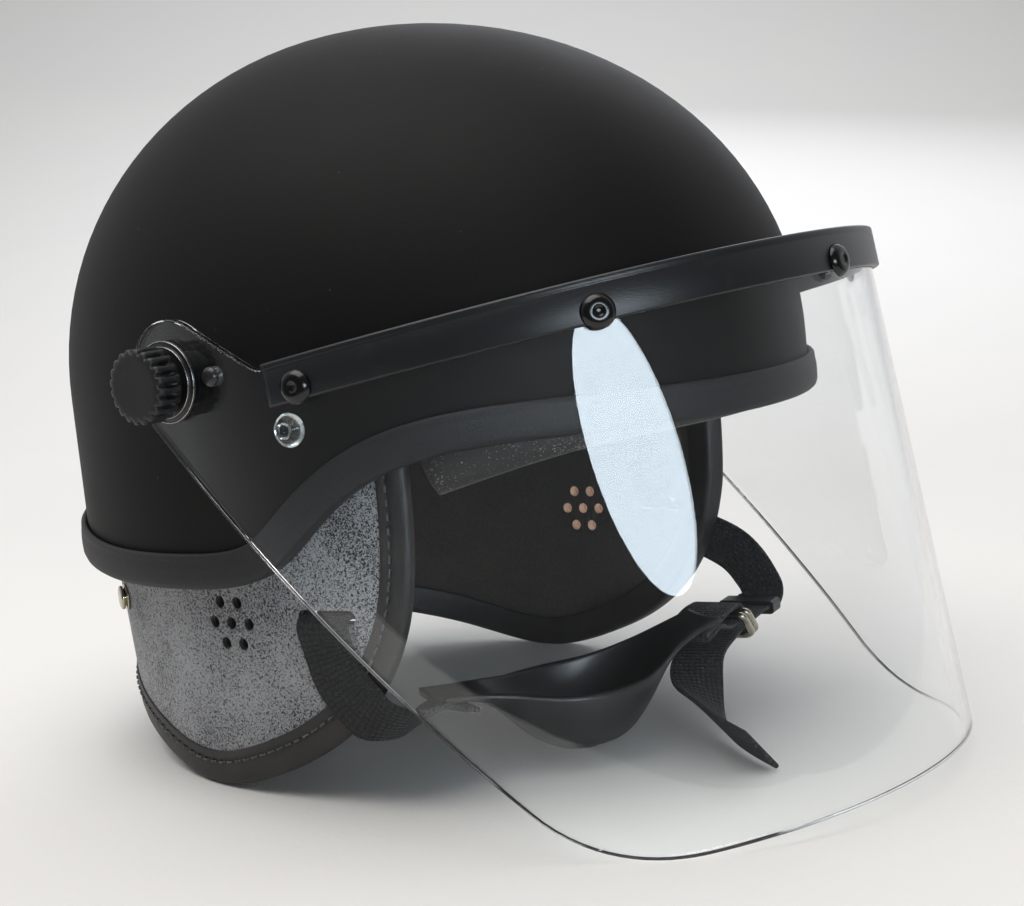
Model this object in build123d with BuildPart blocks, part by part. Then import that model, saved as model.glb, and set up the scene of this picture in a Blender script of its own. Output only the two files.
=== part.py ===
from build123d import *
import os
from math import cos, radians, sin, sqrt

# Shell. The frame while modelling: x to the wearer's left, y to the back, z up,
# y zero at the shell's widest plane and z zero at the bottom of the ear lobes.
shell_half_width = 118
shell_front = 153.5
shell_rear = 134
shell_crown = 125.4
shell_wall = 4
waist_height = 136.3
ear_drop = 60
overrun = 12

# Climbs over the crown, in degrees, of the level outlines that its loft passes through.
crown_climbs = (0, 10, 20, 30, 40, 50, 60, 70, 79, 85, 88.5)

# Lift of the brow while the helmet stands on its ear lobes and visor, in degrees.
standing_lift = 2.07

# Clearances
soft_gap = 0.3
running_gap = 0.05
hole_gap = 0.1

# Rubber trim round the shell's edge
trim_outer = 3
trim_lip = 3
trim_below = 2
trim_above = 10.3

# Foam liner and its pads
liner_thickness = 18
pad_thickness = 10
pad_corner = 14
side_pad_length = 96
side_pad_height = 46
end_pad_width = 92
end_pad_height = 44
crown_pad_radius = 46
pad_centre_height = 150

# Ear and neck curtain
curtain_inset = 8.8
curtain_skin = 2
lining_thickness = 4
curtain_slope = 0.06
curtain_knee = 74
binding_width = 12.5
binding_leather = 0.8
hole_centre_height = 60.6
hole_radius = 2.15
hole_pitch = 8.2
hole_row_pitch = 7.3
strap_slot_length = 22
strap_slot_height = 5
strap_slot_y = -41.6
strap_slot_z = 64
snap_radius = 4.8
snap_height = 2.6
snap_stud_radius = 1.6
snap_y = 74
snap_z = 62

# Visor: a bent clear sheet on two pivots
pivot_y = -7.2
pivot_z = 145.7
visor_lean = 9
visor_thickness = 3
visor_reach = 172.35
visor_front_radius = 122.7
visor_front_turn = 20.63
visor_cheek_radius = 114.3
visor_cheek_turn = 36.75
visor_side_radius = 192.6
visor_side_turn = 37.04
visor_ear_radius = 19.75
visor_ear_centre = 1
visor_tail = 26
visor_shoulder_angle = 43.5
visor_edge_angle = 52.4
visor_shoulder_forward = 38.5
visor_top = -4.4
visor_bottom = -171.1
visor_bottom_rake = 0.024
visor_corner_forward = 110.5
visor_corner_round = 55
visor_shoulder_round = 9

# Black band along the visor's top edge
band_thickness = 2.6
band_start = 42.5
band_top_start = -2.4
band_top_front = 1
band_height = 13.6
rivet_head_radius = 5.5
rivet_head_height = 2.4
rivet_dimple_radius = 1.5
rivet_dimple_depth = 0.5
rivet_shank_radius = 2
rivet_tail_radius = 3.6
rivet_tail_height = 1.2
rivet_drop = -12.4
rivet_rake = 0.014
rivet_near_arc = 53.3
rivet_middle_arc = 148.5

# Stud and bumper on each ear of the visor
stud_radius = 3.2
stud_height = 2
stud_shank_radius = 1.5
stud_tail_height = 1.6
stud_forward = 20
stud_drop = -2
bumper_radius = 5.5
bumper_height = 3.4
bumper_stem_radius = 1.8
bumper_cap_height = 1
bumper_forward = 44
bumper_drop = -24

# Visor pivots: screw, spacer, washer and knob on each side
screw_radius = 3
screw_flange_radius = 9
screw_flange_thickness = 2.5
spacer_radius = 9
spacer_boss_radius = 5.5
spacer_play = 1
washer_play = .6
ear_outer = 129.1
washer_radius = 13.5
washer_thickness = 1.2
washer_ring_radius = 11.7
washer_ring_height = 0.8
knob_radius = 10.9
knob_length = 12.4
knob_rib_radius = 1.3
knob_rib_count = 20
knob_collar_radius = 9.4
knob_collar_length = 2.2
knob_thread_depth = 8.5

# Chin strap webbing, its keeper and rings
strap_width = 19.5
strap_thickness = 1.8
strap_room = 1.6
channel_depth = 13.5
channel_side_room = 4
lip_notch_inset = 5
lining_notch_below = 8
ring_wire = 1.4
ring_inner_width = 21.5
ring_inner_depth = 12
ring_corner = 4.5
ring_pitch = 4.2
ring_tilt = 52
ring_rise = 1.2
ring_taper_share = 0.92
ring_station_index = 13
loop_reach = 28
loop_rise = 11
keeper_wall = 1.4
keeper_run = (10, 12)
keeper_place_share = 0.35
keeper_length = 8

# Moulded chin cup
cup_span = 112
cup_wall = 2.4
cup_yaw = 24
cup_half_width = 26
cup_depth = 25
cup_x = -26
cup_y = -82
cup_rim_height = 26

overall_top = waist_height + shell_crown + overrun
side_reach = shell_front + shell_crown
liner_inset = shell_wall + soft_gap
cavity_inset = liner_inset + liner_thickness
liner_wall_inset = liner_inset + trim_lip + soft_gap
pad_inset = cavity_inset + soft_gap
lining_inset = curtain_inset + curtain_skin + soft_gap
lining_inner = lining_inset + lining_thickness
binding_outer = curtain_inset - soft_gap - binding_leather / 2
binding_inner = lining_inner + soft_gap + binding_leather

# Shares of the shell's front length and of the ear's drop below the waist.
rim_shares = (
    (0.92, 0.82), (0.39, 0.995), (0.03, 1.0), (-0.20, 0.885), (-0.31, 0.655),
    (-0.49, 0.37), (-0.72, 0.265), (-1.06, 0.29),
)
liner_edge_shares = (
    (0.92, 0.60), (0.39, 0.735), (0.03, 0.735), (-0.26, 0.54), (-0.49, 0.24),
    (-0.72, 0.17), (-1.06, 0.17),
)
brow_edge_shares = ((-0.518, 0.57), (-0.62, 0.49), (-0.79, 0.38), (-0.93, 0.35), (-1.06, 0.35))

# Shares of the shell's front length and of the waist's height.
curtain_edge_shares = (
    (0.89, 0.245), (0.65, 0.150), (0.423, 0.070), (0.150, 0.0), (-0.055, 0.044),
    (-0.326, 0.205), (-0.469, 0.44), (-0.505, 0.66), (-0.508, 0.93),
)

pieces = {}


def keep(name, piece):
    """Remember a finished piece under its name."""
    piece.part.label = name
    pieces[name] = piece


def plan_outline(half_width, rear, front):
    """The helmet's outline from above: two half ellipses of different length."""
    with BuildSketch(mode=Mode.PRIVATE) as plan:
        with BuildLine():
            EllipticalCenterArc((0, 0), half_width, rear, 0, arc_size=90)
            EllipticalCenterArc((0, 0), half_width, rear, 90, arc_size=90)
            EllipticalCenterArc((0, 0), half_width, front, 180, arc_size=90)
            EllipticalCenterArc((0, 0), half_width, front, 270, arc_size=90)
        make_face()
    return plan.sketch


def plan_face(inset):
    """The outline from above, drawn in by inset."""
    return plan_outline(shell_half_width - inset, shell_rear - inset, shell_front - inset)


def dome(inset):
    """The filled crown above the waist: a loft through level outlines that shrink as an ellipse."""
    with BuildPart(mode=Mode.PRIVATE) as crown:
        for climb in crown_climbs:
            share = cos(radians(climb))
            with BuildSketch(Plane.XY.offset((shell_crown - inset) * sin(radians(climb)))):
                add(plan_outline(
                    (shell_half_width - inset) * share, (shell_rear - inset) * share,
                    (shell_front - inset) * share,
                ))
        loft()
    return Pos(0, 0, waist_height) * crown.part


def crown_wall(outer, inner):
    """The curved crown between two insets."""
    with BuildPart(mode=Mode.PRIVATE) as crown:
        add(dome(outer))
        add(dome(inner), mode=Mode.SUBTRACT)
    return crown.part


def wall(outer, inner, low, high):
    """An upright ring between two insets, from one height to another."""
    with BuildPart(mode=Mode.PRIVATE) as ring:
        with BuildSketch(Plane.XY.offset(low)):
            add(plan_face(outer))
            add(plan_face(inner), mode=Mode.SUBTRACT)
        extrude(amount=high - low)
    return ring.part


def shifted(points, grow):
    """A curved edge moved square to itself, downward where the shift is positive."""
    with BuildLine(mode=Mode.PRIVATE) as line:
        edge = Spline(*points)
    count = 2 * len(points)
    moved = []
    for step in range(count + 1):
        place, along = edge @ (step / count), edge % (step / count)
        moved.append((place.X - along.Y * grow, place.Y + along.X * grow))
    return moved


def side_region(points, grow=0):
    """The side view above a curved edge, moved down by a shift, extruded through the helmet."""
    if grow:
        points = shifted(points, grow)
    with BuildPart(mode=Mode.PRIVATE) as region:
        with BuildSketch(Plane.YZ):
            with BuildLine():
                edge = Spline(*points)
                front = -side_reach
                rear = side_reach
                Polyline(
                    edge @ 1, (front, points[-1][1]), (front, overall_top),
                    (rear, overall_top), (rear, points[0][1]), edge @ 0,
                )
            make_face()
        extrude(amount=shell_half_width + overrun, both=True)
    return region.part


def below_waist(shares):
    """Points of an edge from shares of the front length and of the ear's drop."""
    return [(y * shell_front, waist_height - drop * ear_drop) for y, drop in shares]


def above_base(shares):
    """Points of an edge from shares of the front length and of the waist's height."""
    return [(y * shell_front, z * waist_height) for y, z in shares]


rim_points = below_waist(rim_shares)
liner_points = below_waist(liner_edge_shares)
curtain_points = above_base(curtain_edge_shares)

# Shell
with BuildPart() as shell:
    add(wall(0, shell_wall, 0, waist_height))
    add(side_region(rim_points), mode=Mode.INTERSECT)
    add(crown_wall(0, shell_wall))
    with BuildSketch(Plane.YZ):
        with Locations((pivot_y, pivot_z)):
            Circle(screw_radius + hole_gap)
    extrude(amount=shell_half_width + overrun, both=True, mode=Mode.SUBTRACT)
keep("shell", shell)

# Chin strap routes: a point and the direction of the webbing's width at each station


def on_wall(side, inset, y, z):
    """A point on the helmet's upright or crowned wall at an inset, on one side."""
    length = (shell_front if y < 0 else shell_rear) - inset
    rise = max(z - waist_height, 0) / (shell_crown - inset)
    return Vector(side * (shell_half_width - inset) * sqrt(1 - (y / length) ** 2 - rise ** 2), y, z)


def webbing(stations, width, thickness):
    """A flat band through stations of point and width direction, as one ruled loft."""
    centres = [Vector(*point) for point, across in stations]
    widths = [Vector(*across) for point, across in stations]
    last = len(centres) - 1
    planes = []
    for index, centre in enumerate(centres):
        along = centres[min(index + 1, last)] - centres[max(index - 1, 0)]
        across = widths[index] - along * (widths[index].dot(along) / along.dot(along))
        planes.append(Plane(origin=centre, x_dir=across, z_dir=along))
    with BuildPart(mode=Mode.PRIVATE) as band:
        for plane in planes:
            with BuildSketch(plane):
                Rectangle(width, thickness)
        loft(ruled=True)
    return band.part


def turned(side, stations):
    """Stations chosen on the wearer's left, turned to one side of the helmet."""
    return [
        (Vector(side * x * shell_half_width, y * shell_front, z * waist_height),
         Vector(side * across[0], across[1], across[2]))
        for (x, y, z), across in stations
    ]


# Hidden leg of each chin strap, from the visor's pivot screw down between shell and liner,
# then inside the curtain to its slot. Shares of the shell's half width (as an inset), of its
# front length and of the waist's height.
inner_leg_shares = (
    (0.0510, -0.020, 1.140), (0.0510, -0.047, 1.069), (0.0510, -0.176, 0.763),
    (0.0510, -0.198, 0.724), (0.0930, -0.211, 0.677), (0.1480, -0.224, 0.632),
    (0.1510, -0.268, 0.515),
)


def inner_leg(side):
    """Stations of the strap's hidden leg on one side, its width along the wall."""
    stations = []
    for inset, y, z in inner_leg_shares:
        point = on_wall(side, inset * shell_half_width, y * shell_front, z * waist_height)
        lean = -point.Y / point.X * (shell_half_width / shell_front) ** 2
        stations.append((point, Vector(lean, 1, -0.41)))
    return stations


# Legs of the straps beyond the lining, each station with its direction of width. Shares of
# the shell's half width, of its front length and of the waist's height.
slot_shares = (
    ((0.812, -0.271, 0.484), (0.22, 1, 0)),
    ((0.8265, -0.271, 0.4680), (0.22, 1, 0)),
    ((0.888, -0.271, 0.4685), (0.22, 1, 0)),
    ((0.9085, -0.271, 0.458), (0.22, 1, 0)),
)
right_leg_shares = slot_shares + (
    ((0.902, -0.271, 0.410), (0.22, 0.95, -0.10)),
    ((0.899, -0.296, 0.323), (0.22, 0.90, -0.35)),
    ((0.883, -0.332, 0.257), (0.20, 0.85, -0.45)),
    ((0.872, -0.365, 0.224), (0.10, 0.82, -0.55)),
    ((0.831, -0.394, 0.202), (-0.10, 0.80, -0.60)),
    ((0.737, -0.407, 0.194), (-0.25, 0.80, -0.45)),
    ((0.655, -0.402, 0.203), (-0.35, 0.85, -0.10)),
    ((0.563, -0.424, 0.190), (-0.40, 0.90, 0)),
)
left_leg_shares = slot_shares + (
    ((0.903, -0.273, 0.425), (0.20, 0.90, -0.40)),
    ((0.894, -0.335, 0.385), (0.15, 0.60, -0.78)),
    ((0.872, -0.412, 0.362), (0.10, 0.42, -0.90)),
    ((0.854, -0.492, 0.325), (0.0, 0.55, -0.83)),
    ((0.845, -0.547, 0.262), (0.0, 0.85, -0.50)),
    ((0.836, -0.568, 0.218), (0.0, 1.0, -0.10)),
    ((0.805, -0.573, 0.1975), (-0.147, 1, 0)),
    ((0.6735, -0.588, 0.19525), (-0.147, 1, 0)),
)
left_leg_shares += (
    ((0.542, -0.603, 0.193), (-0.147, 1, 0)),
    ((0.441, -0.616, 0.187), (-0.14, 1, 0)),
    ((0.339, -0.626, 0.172), (-0.18, 1, 0)),
    ((0.237, -0.640, 0.140), (-0.35, 1, 0)),
    ((0.160, -0.672, 0.078), (-0.60, 1, 0)),
    ((0.085, -0.730, 0.022), (-0.85, 0.90, 0)),
    ((-0.015, -0.827, -0.014), (-1, 0.60, 0)),
    ((-0.125, -0.955, -0.0305), (-1, 0.50, 0)),
)

hidden_legs = {"right": inner_leg(-1), "left": inner_leg(1)}


def channel(shallow, depth):
    """Room for the hidden legs of both straps, between two depths from the shell's side."""
    top, bottom = hidden_legs["left"][0][0], hidden_legs["left"][-1][0]
    middle = (top + bottom) / 2
    drop = Vector(0, (bottom - top).Y, (bottom - top).Z)
    with BuildPart(mode=Mode.PRIVATE) as room:
        for side in (-1, 1):
            origin = (side * (shell_half_width - depth), middle.Y, middle.Z)
            with BuildSketch(Plane(origin=origin, x_dir=drop, z_dir=(side, 0, 0))):
                Rectangle(drop.length + strap_width, strap_width + 2 * channel_side_room)
            extrude(amount=depth - shallow)
    return room.part


notch_depth = binding_inner + strap_thickness + channel_side_room

# Rubber trim: a U section round the shell's edge
with BuildPart() as shell_slot:
    add(wall(-soft_gap, liner_inset, 0, waist_height))
    add(side_region(rim_points, soft_gap), mode=Mode.INTERSECT)
with BuildPart() as edge_trim:
    add(wall(-trim_outer, liner_inset + trim_lip, 0, waist_height))
    add(side_region(rim_points, trim_below), mode=Mode.INTERSECT)
    add(side_region(rim_points, -trim_above), mode=Mode.SUBTRACT)
    add(shell_slot.part, mode=Mode.SUBTRACT)
    add(channel(lip_notch_inset, notch_depth), mode=Mode.SUBTRACT)
keep("edge_trim", edge_trim)

# Foam liner: a crown block against the shell, and a band clear of the trim and the straps
with BuildPart() as foam_liner:
    add(crown_wall(liner_inset, cavity_inset))
    add(channel(0, channel_depth), mode=Mode.SUBTRACT)
keep("foam_liner", foam_liner)
with BuildPart() as liner_band:
    add(wall(liner_wall_inset, cavity_inset, 0, waist_height))
    add(side_region(liner_points), mode=Mode.INTERSECT)
keep("liner_band", liner_band)

# Sizing pads inside the liner: left, right, front, rear and crown
pad_wall = wall(pad_inset, pad_inset + pad_thickness, 0, waist_height)
pad_crown = crown_wall(pad_inset, pad_inset + pad_thickness)
half_reach = shell_half_width + overrun


def pad_cut(plane, width, height, reach):
    """The stretch of the pad layer behind a rounded rectangle on one side."""
    with BuildPart(mode=Mode.PRIVATE) as cut:
        with BuildSketch(plane.offset(cavity_inset)):
            with Locations((0, pad_centre_height)):
                RectangleRounded(width, height, pad_corner)
        extrude(amount=reach)
    with BuildPart(mode=Mode.PRIVATE) as upper:
        add(pad_crown)
        add(cut.part, mode=Mode.INTERSECT)
    with BuildPart(mode=Mode.PRIVATE) as pad:
        add(pad_wall)
        add(cut.part, mode=Mode.INTERSECT)
        add(upper.part)
    return pad.part


right_face = Plane(origin=(0, 0, 0), x_dir=(0, -1, 0), z_dir=(-1, 0, 0))
front_face = Plane(origin=(0, 0, 0), x_dir=(1, 0, 0), z_dir=(0, -1, 0))
rear_face = Plane(origin=(0, 0, 0), x_dir=(-1, 0, 0), z_dir=(0, 1, 0))
pad_places = (
    ("right", right_face, side_pad_length, side_pad_height),
    ("left", Plane.YZ, side_pad_length, side_pad_height),
    ("front", front_face, end_pad_width, end_pad_height),
    ("rear", rear_face, end_pad_width, end_pad_height),
)
for name, plane, width, height in pad_places:
    with BuildPart() as sizing_pad:
        add(pad_cut(plane, width, height, side_reach))
    keep(f"{name}_sizing_pad", sizing_pad)
with BuildPart() as crown_pad:
    add(pad_crown)
    with BuildSketch():
        Circle(crown_pad_radius)
    extrude(amount=overall_top, mode=Mode.INTERSECT)
keep("crown_pad", crown_pad)

# Brow pad under the liner's front edge, between the two ends of the curtain
with BuildPart() as brow_pad:
    add(wall(liner_wall_inset, cavity_inset, 0, waist_height))
    with BuildSketch(Plane.YZ):
        with BuildLine():
            brow_edge = Spline(*below_waist(brow_edge_shares))
            Polyline(
                brow_edge @ 1, (-side_reach, (brow_edge @ 1).Y), (-side_reach, waist_height),
                ((brow_edge @ 0).X, waist_height), brow_edge @ 0,
            )
        make_face()
    extrude(amount=half_reach, both=True, mode=Mode.INTERSECT)
    add(side_region(liner_points, soft_gap), mode=Mode.SUBTRACT)
keep("brow_pad", brow_pad)

# Ear and neck curtain: outer skin, lining and binding, all from one outline
def curtain_block(inset):
    """The filled curtain at an inset: upright above the knee and drawn in towards its hem."""
    low = -overrun
    drawn_in = inset + curtain_slope * (curtain_knee - low)
    with BuildPart(mode=Mode.PRIVATE) as block:
        with BuildSketch(Plane.XY.offset(low)):
            add(plan_face(drawn_in))
        with BuildSketch(Plane.XY.offset(curtain_knee)):
            add(plan_face(inset))
        loft(ruled=True)
        with BuildSketch(Plane.XY.offset(curtain_knee)):
            add(plan_face(inset))
        extrude(amount=waist_height - curtain_knee)
    return block.part


def curtain_layer(outer, inner, outline_grow):
    """One layer of the curtain between two insets, within the outline grown by an offset."""
    with BuildPart(mode=Mode.PRIVATE) as layer:
        add(curtain_block(outer))
        add(curtain_block(inner), mode=Mode.SUBTRACT)
        add(side_region(curtain_points, outline_grow), mode=Mode.INTERSECT)
        add(side_region(liner_points, soft_gap), mode=Mode.SUBTRACT)
    return layer.part


def curtain_openings():
    """Hearing holes and strap slots through both ears."""
    hole_rows = ((-0.5, 1), (0.5, 1), (-1, 0), (0, 0), (1, 0), (-0.5, -1), (0.5, -1))
    holes = [(y * hole_pitch, hole_centre_height + z * hole_row_pitch) for y, z in hole_rows]
    with BuildPart(mode=Mode.PRIVATE) as openings:
        with BuildSketch(Plane.YZ):
            with Locations(*holes):
                Circle(hole_radius)
            with Locations((strap_slot_y, strap_slot_z)):
                SlotOverall(strap_slot_length, strap_slot_height)
        extrude(amount=half_reach, both=True)
    return openings.part


def curtain_plane(side, y, z):
    """Plane on the curtain's outer face, z outward."""
    inset = curtain_inset + curtain_slope * max(curtain_knee - z, 0)
    length = (shell_front if y < 0 else shell_rear) - inset
    point = on_wall(side, inset, y, z)
    outward = Vector(point.X / (shell_half_width - inset) ** 2, y / length ** 2, 0)
    return Plane(origin=point, x_dir=(0, 0, 1), z_dir=outward)


with BuildPart() as snap_holes:
    for side in (-1, 1):
        with BuildSketch(curtain_plane(side, snap_y, snap_z).offset(overrun)):
            Circle(snap_stud_radius + hole_gap)
        extrude(amount=-overrun - overrun)
def curtain_notch(below):
    """Notches where the hidden legs cross the curtain, down to a drop below the shell's rim."""
    with BuildPart(mode=Mode.PRIVATE) as notch:
        add(channel(lip_notch_inset, notch_depth))
        add(side_region(rim_points, below), mode=Mode.INTERSECT)
    return notch.part


ear_openings = curtain_openings()
hem = -binding_leather - soft_gap
with BuildPart() as ear_neck_curtain:
    add(curtain_layer(curtain_inset, curtain_inset + curtain_skin, hem))
    add(ear_openings, mode=Mode.SUBTRACT)
    add(curtain_notch(trim_below), mode=Mode.SUBTRACT)
    add(snap_holes.part, mode=Mode.SUBTRACT)
keep("ear_neck_curtain", ear_neck_curtain)
with BuildPart() as curtain_lining:
    add(curtain_layer(lining_inset, lining_inner, hem))
    add(ear_openings, mode=Mode.SUBTRACT)
    add(curtain_notch(lining_notch_below), mode=Mode.SUBTRACT)
    add(snap_holes.part, mode=Mode.SUBTRACT)
keep("curtain_lining", curtain_lining)


# Visor: frame of the bent sheet, with w running forward from the pivots and h up
lean = radians(visor_lean)
visor_forward = Vector(0, -cos(lean), sin(lean))
visor_up = Vector(0, sin(lean), cos(lean))
pivot = Vector(0, pivot_y, pivot_z)
visor_section = Plane(origin=pivot, x_dir=(1, 0, 0), z_dir=visor_up)
visor_side = Plane(origin=pivot, x_dir=visor_forward, z_dir=(-1, 0, 0))
visor_bends = (
    (visor_front_radius, visor_front_turn),
    (visor_cheek_radius, visor_cheek_turn),
    (visor_side_radius, visor_side_turn),
)
visor_inner = -visor_thickness


def sheet_line(shift):
    """Half of the sheet's section moved outward by a shift: three tangent arcs and a tail."""
    start, tangent = Vector(0, -visor_reach - shift), Vector(1, 0)
    edges = []
    for radius, turn in visor_bends:
        edges.append(JernArc(start, tangent, radius + shift, turn))
        start, tangent = edges[-1] @ 1, edges[-1] % 1
    edges.append(Line(start, start + tangent * visor_tail))
    return edges


def sheet_wall(inner, outer, low, high):
    """The bent sheet between two shifts of its outer face and two heights."""
    with BuildPart(mode=Mode.PRIVATE) as sheet:
        with BuildSketch(visor_section.offset(low)):
            with BuildLine():
                outside = sheet_line(outer)
                inside = sheet_line(inner)
                Line(outside[0] @ 0, inside[0] @ 0)
                Line(outside[-1] @ 1, inside[-1] @ 1)
            make_face()
            mirror(about=Plane.YZ)
        extrude(amount=high - low)
    return sheet.part


with BuildLine() as outer_half:
    sheet_line(0)
outer_wire = visor_section.location * Wire(outer_half.line.edges())
quarter_length = outer_wire.length - visor_tail


def sheet_plane(side, arc, height):
    """Plane on the sheet's outer face, an arc length forward of the pivots, z outward."""
    distance = quarter_length - arc
    point = outer_wire.position_at(distance, position_mode=PositionMode.LENGTH)
    along = outer_wire.tangent_at(distance, position_mode=PositionMode.LENGTH)
    outward = along.cross(visor_up)
    if outward.dot(point - pivot) < 0:
        outward = -outward
    origin = point + visor_up * height
    return Plane(
        origin=(side * origin.X, origin.Y, origin.Z),
        x_dir=visor_up,
        z_dir=(side * outward.X, outward.Y, outward.Z),
    )


def arc_at(forward):
    """Arc length from the pivots of the point that lies a distance forward of them."""
    low, high = 0, quarter_length
    for halving in range(40):
        middle = (low + high) / 2
        point = outer_wire.position_at(quarter_length - middle, position_mode=PositionMode.LENGTH)
        if (point - pivot).dot(visor_forward) < forward:
            low = middle
        else:
            high = middle
    return low


def rivet_height(arc):
    """Height of a rivet's centre on the band."""
    point = outer_wire.position_at(quarter_length - arc, position_mode=PositionMode.LENGTH)
    return rivet_drop + rivet_rake * (point - pivot).dot(visor_forward)


rivet_arcs = (rivet_near_arc, rivet_middle_arc, quarter_length)
shoulder_normal = radians(90 - visor_shoulder_angle)
edge_normal = radians(270 - visor_edge_angle)
ear_top = (
    visor_ear_centre + visor_ear_radius * cos(shoulder_normal),
    visor_ear_radius * sin(shoulder_normal),
)
ear_bottom = (
    visor_ear_centre + visor_ear_radius * cos(edge_normal),
    visor_ear_radius * sin(edge_normal),
)
rear_normal = (shoulder_normal + edge_normal) / 2
ear_rear = (
    visor_ear_centre + visor_ear_radius * cos(rear_normal),
    visor_ear_radius * sin(rear_normal),
)
front_limit = visor_reach + overrun
corner_height = ear_bottom[1] - (visor_corner_forward - ear_bottom[0]) * sin(
    radians(visor_edge_angle)
) / cos(radians(visor_edge_angle))

with BuildPart() as visor_outline:
    with BuildSketch(visor_side):
        with BuildLine():
            ThreePointArc(ear_top, ear_rear, ear_bottom)
            FilletPolyline(
                ear_top, (visor_shoulder_forward, visor_top), (front_limit, visor_top),
                radius=visor_shoulder_round,
            )
            Line((front_limit, visor_top), (front_limit, visor_bottom - visor_bottom_rake * front_limit))
            FilletPolyline(
                (front_limit, visor_bottom - visor_bottom_rake * front_limit),
                (visor_corner_forward, corner_height), ear_bottom,
                radius=visor_corner_round,
            )
        make_face()
    extrude(amount=half_reach + overrun, both=True)

rivet_holes = [(arc, rivet_height(arc), rivet_shank_radius) for arc in rivet_arcs]
sheet_holes = rivet_holes + [
    (arc_at(stud_forward), stud_drop, stud_shank_radius),
    (arc_at(bumper_forward), bumper_drop, bumper_stem_radius),
]

# Clear sheet
with BuildPart() as visor_lens:
    add(sheet_wall(visor_inner, 0, visor_bottom - overrun, visor_ear_radius + overrun))
    add(visor_outline.part, mode=Mode.INTERSECT)
    with BuildSketch(visor_side):
        Circle(spacer_boss_radius + running_gap)
    extrude(amount=half_reach + overrun, both=True, mode=Mode.SUBTRACT)
    for arc, height, radius in sheet_holes:
        for side in (-1, 1):
            with BuildSketch(sheet_plane(side, arc, height).offset(overrun)):
                Circle(radius + hole_gap)
            extrude(amount=-overrun - overrun, mode=Mode.SUBTRACT)
keep("visor_lens", visor_lens)

# Binding of the curtain's hem, flattened under both ears to rest level with the visor
standing = Rot(-standing_lift, 0, 0)
rest_height = (standing * visor_lens.part).bounding_box().min.Z
ground = Plane(standing.inverse() * Pos(0, 0, rest_height))
with BuildPart() as curtain_binding:
    add(curtain_layer(binding_outer, binding_inner, 0))
    add(side_region(curtain_points, -binding_width), mode=Mode.SUBTRACT)
    add(curtain_layer(curtain_inset - soft_gap, lining_inner + soft_gap, -binding_leather), mode=Mode.SUBTRACT)
    with BuildSketch(ground):
        Rectangle(2 * side_reach, 2 * side_reach)
    extrude(amount=-overrun, mode=Mode.SUBTRACT)
keep("curtain_binding", curtain_binding)

# Band: an angle strip over the sheet's top edge
with BuildPart() as band_outline:
    with BuildSketch(visor_side):
        with BuildLine():
            Polyline(
                (band_start, band_top_start), (front_limit, band_top_front),
                (front_limit, band_top_front - band_height), (band_start, band_top_start - band_height),
                (band_start, band_top_start),
            )
        make_face()
    extrude(amount=half_reach + overrun, both=True)
with BuildPart() as visor_band:
    add(sheet_wall(hole_gap, band_thickness, -band_height - overrun, overrun))
    add(sheet_wall(visor_inner, band_thickness, visor_top + hole_gap, overrun))
    add(band_outline.part, mode=Mode.INTERSECT)
    for arc, height, radius in rivet_holes:
        for side in (-1, 1):
            with BuildSketch(sheet_plane(side, arc, height).offset(overrun)):
                Circle(radius + hole_gap)
            extrude(amount=-overrun - overrun, mode=Mode.SUBTRACT)
keep("visor_band", visor_band)


def revolved(plane, profile):
    """A round piece about a plane's normal: a closed profile of radius and height."""
    with BuildPart(mode=Mode.PRIVATE) as turned_piece:
        with BuildSketch(Plane(origin=plane.origin, x_dir=plane.x_dir, z_dir=-plane.y_dir)):
            with BuildLine():
                Polyline(*profile, close=True)
            make_face()
        revolve(axis=Axis(plane.origin, plane.z_dir))
    return turned_piece.part


# Snap fasteners at the rear of each ear: a domed cap outside and a washer inside
snap_back = -curtain_skin - soft_gap - lining_thickness - soft_gap
snap_profile = (
    (0, snap_height), (snap_radius * 0.6, snap_height), (snap_radius * 0.92, snap_height * 0.65),
    (snap_radius, soft_gap), (snap_stud_radius, soft_gap), (snap_stud_radius, snap_back),
    (snap_radius * 0.8, snap_back), (snap_radius * 0.8, snap_back - snap_stud_radius), (0, snap_back - snap_stud_radius),
)
with BuildPart() as curtain_snaps:
    for side in (-1, 1):
        add(revolved(curtain_plane(side, snap_y, snap_z), snap_profile))
keep("curtain_snaps", curtain_snaps)

# Band rivets: a domed head with a small dimple outside, a shank and a flat tail inside
rivet_base = band_thickness + hole_gap
rivet_back = visor_inner - hole_gap
rivet_profile = (
    (0, rivet_base + rivet_head_height - rivet_dimple_depth),
    (rivet_dimple_radius, rivet_base + rivet_head_height - rivet_dimple_depth),
    (rivet_dimple_radius, rivet_base + rivet_head_height),
    (rivet_head_radius / 2, rivet_base + rivet_head_height),
    (rivet_head_radius * 0.85, rivet_base + rivet_head_height * 0.6),
    (rivet_head_radius, rivet_base),
    (rivet_shank_radius, rivet_base),
    (rivet_shank_radius, rivet_back),
    (rivet_tail_radius, rivet_back),
    (rivet_tail_radius, rivet_back - rivet_tail_height),
    (0, rivet_back - rivet_tail_height),
)
with BuildPart() as band_rivets:
    for arc in rivet_arcs[:-1]:
        for side in (-1, 1):
            add(revolved(sheet_plane(side, arc, rivet_height(arc)), rivet_profile))
    add(revolved(sheet_plane(1, quarter_length, rivet_height(quarter_length)), rivet_profile))
keep("band_rivets", band_rivets)

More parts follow.
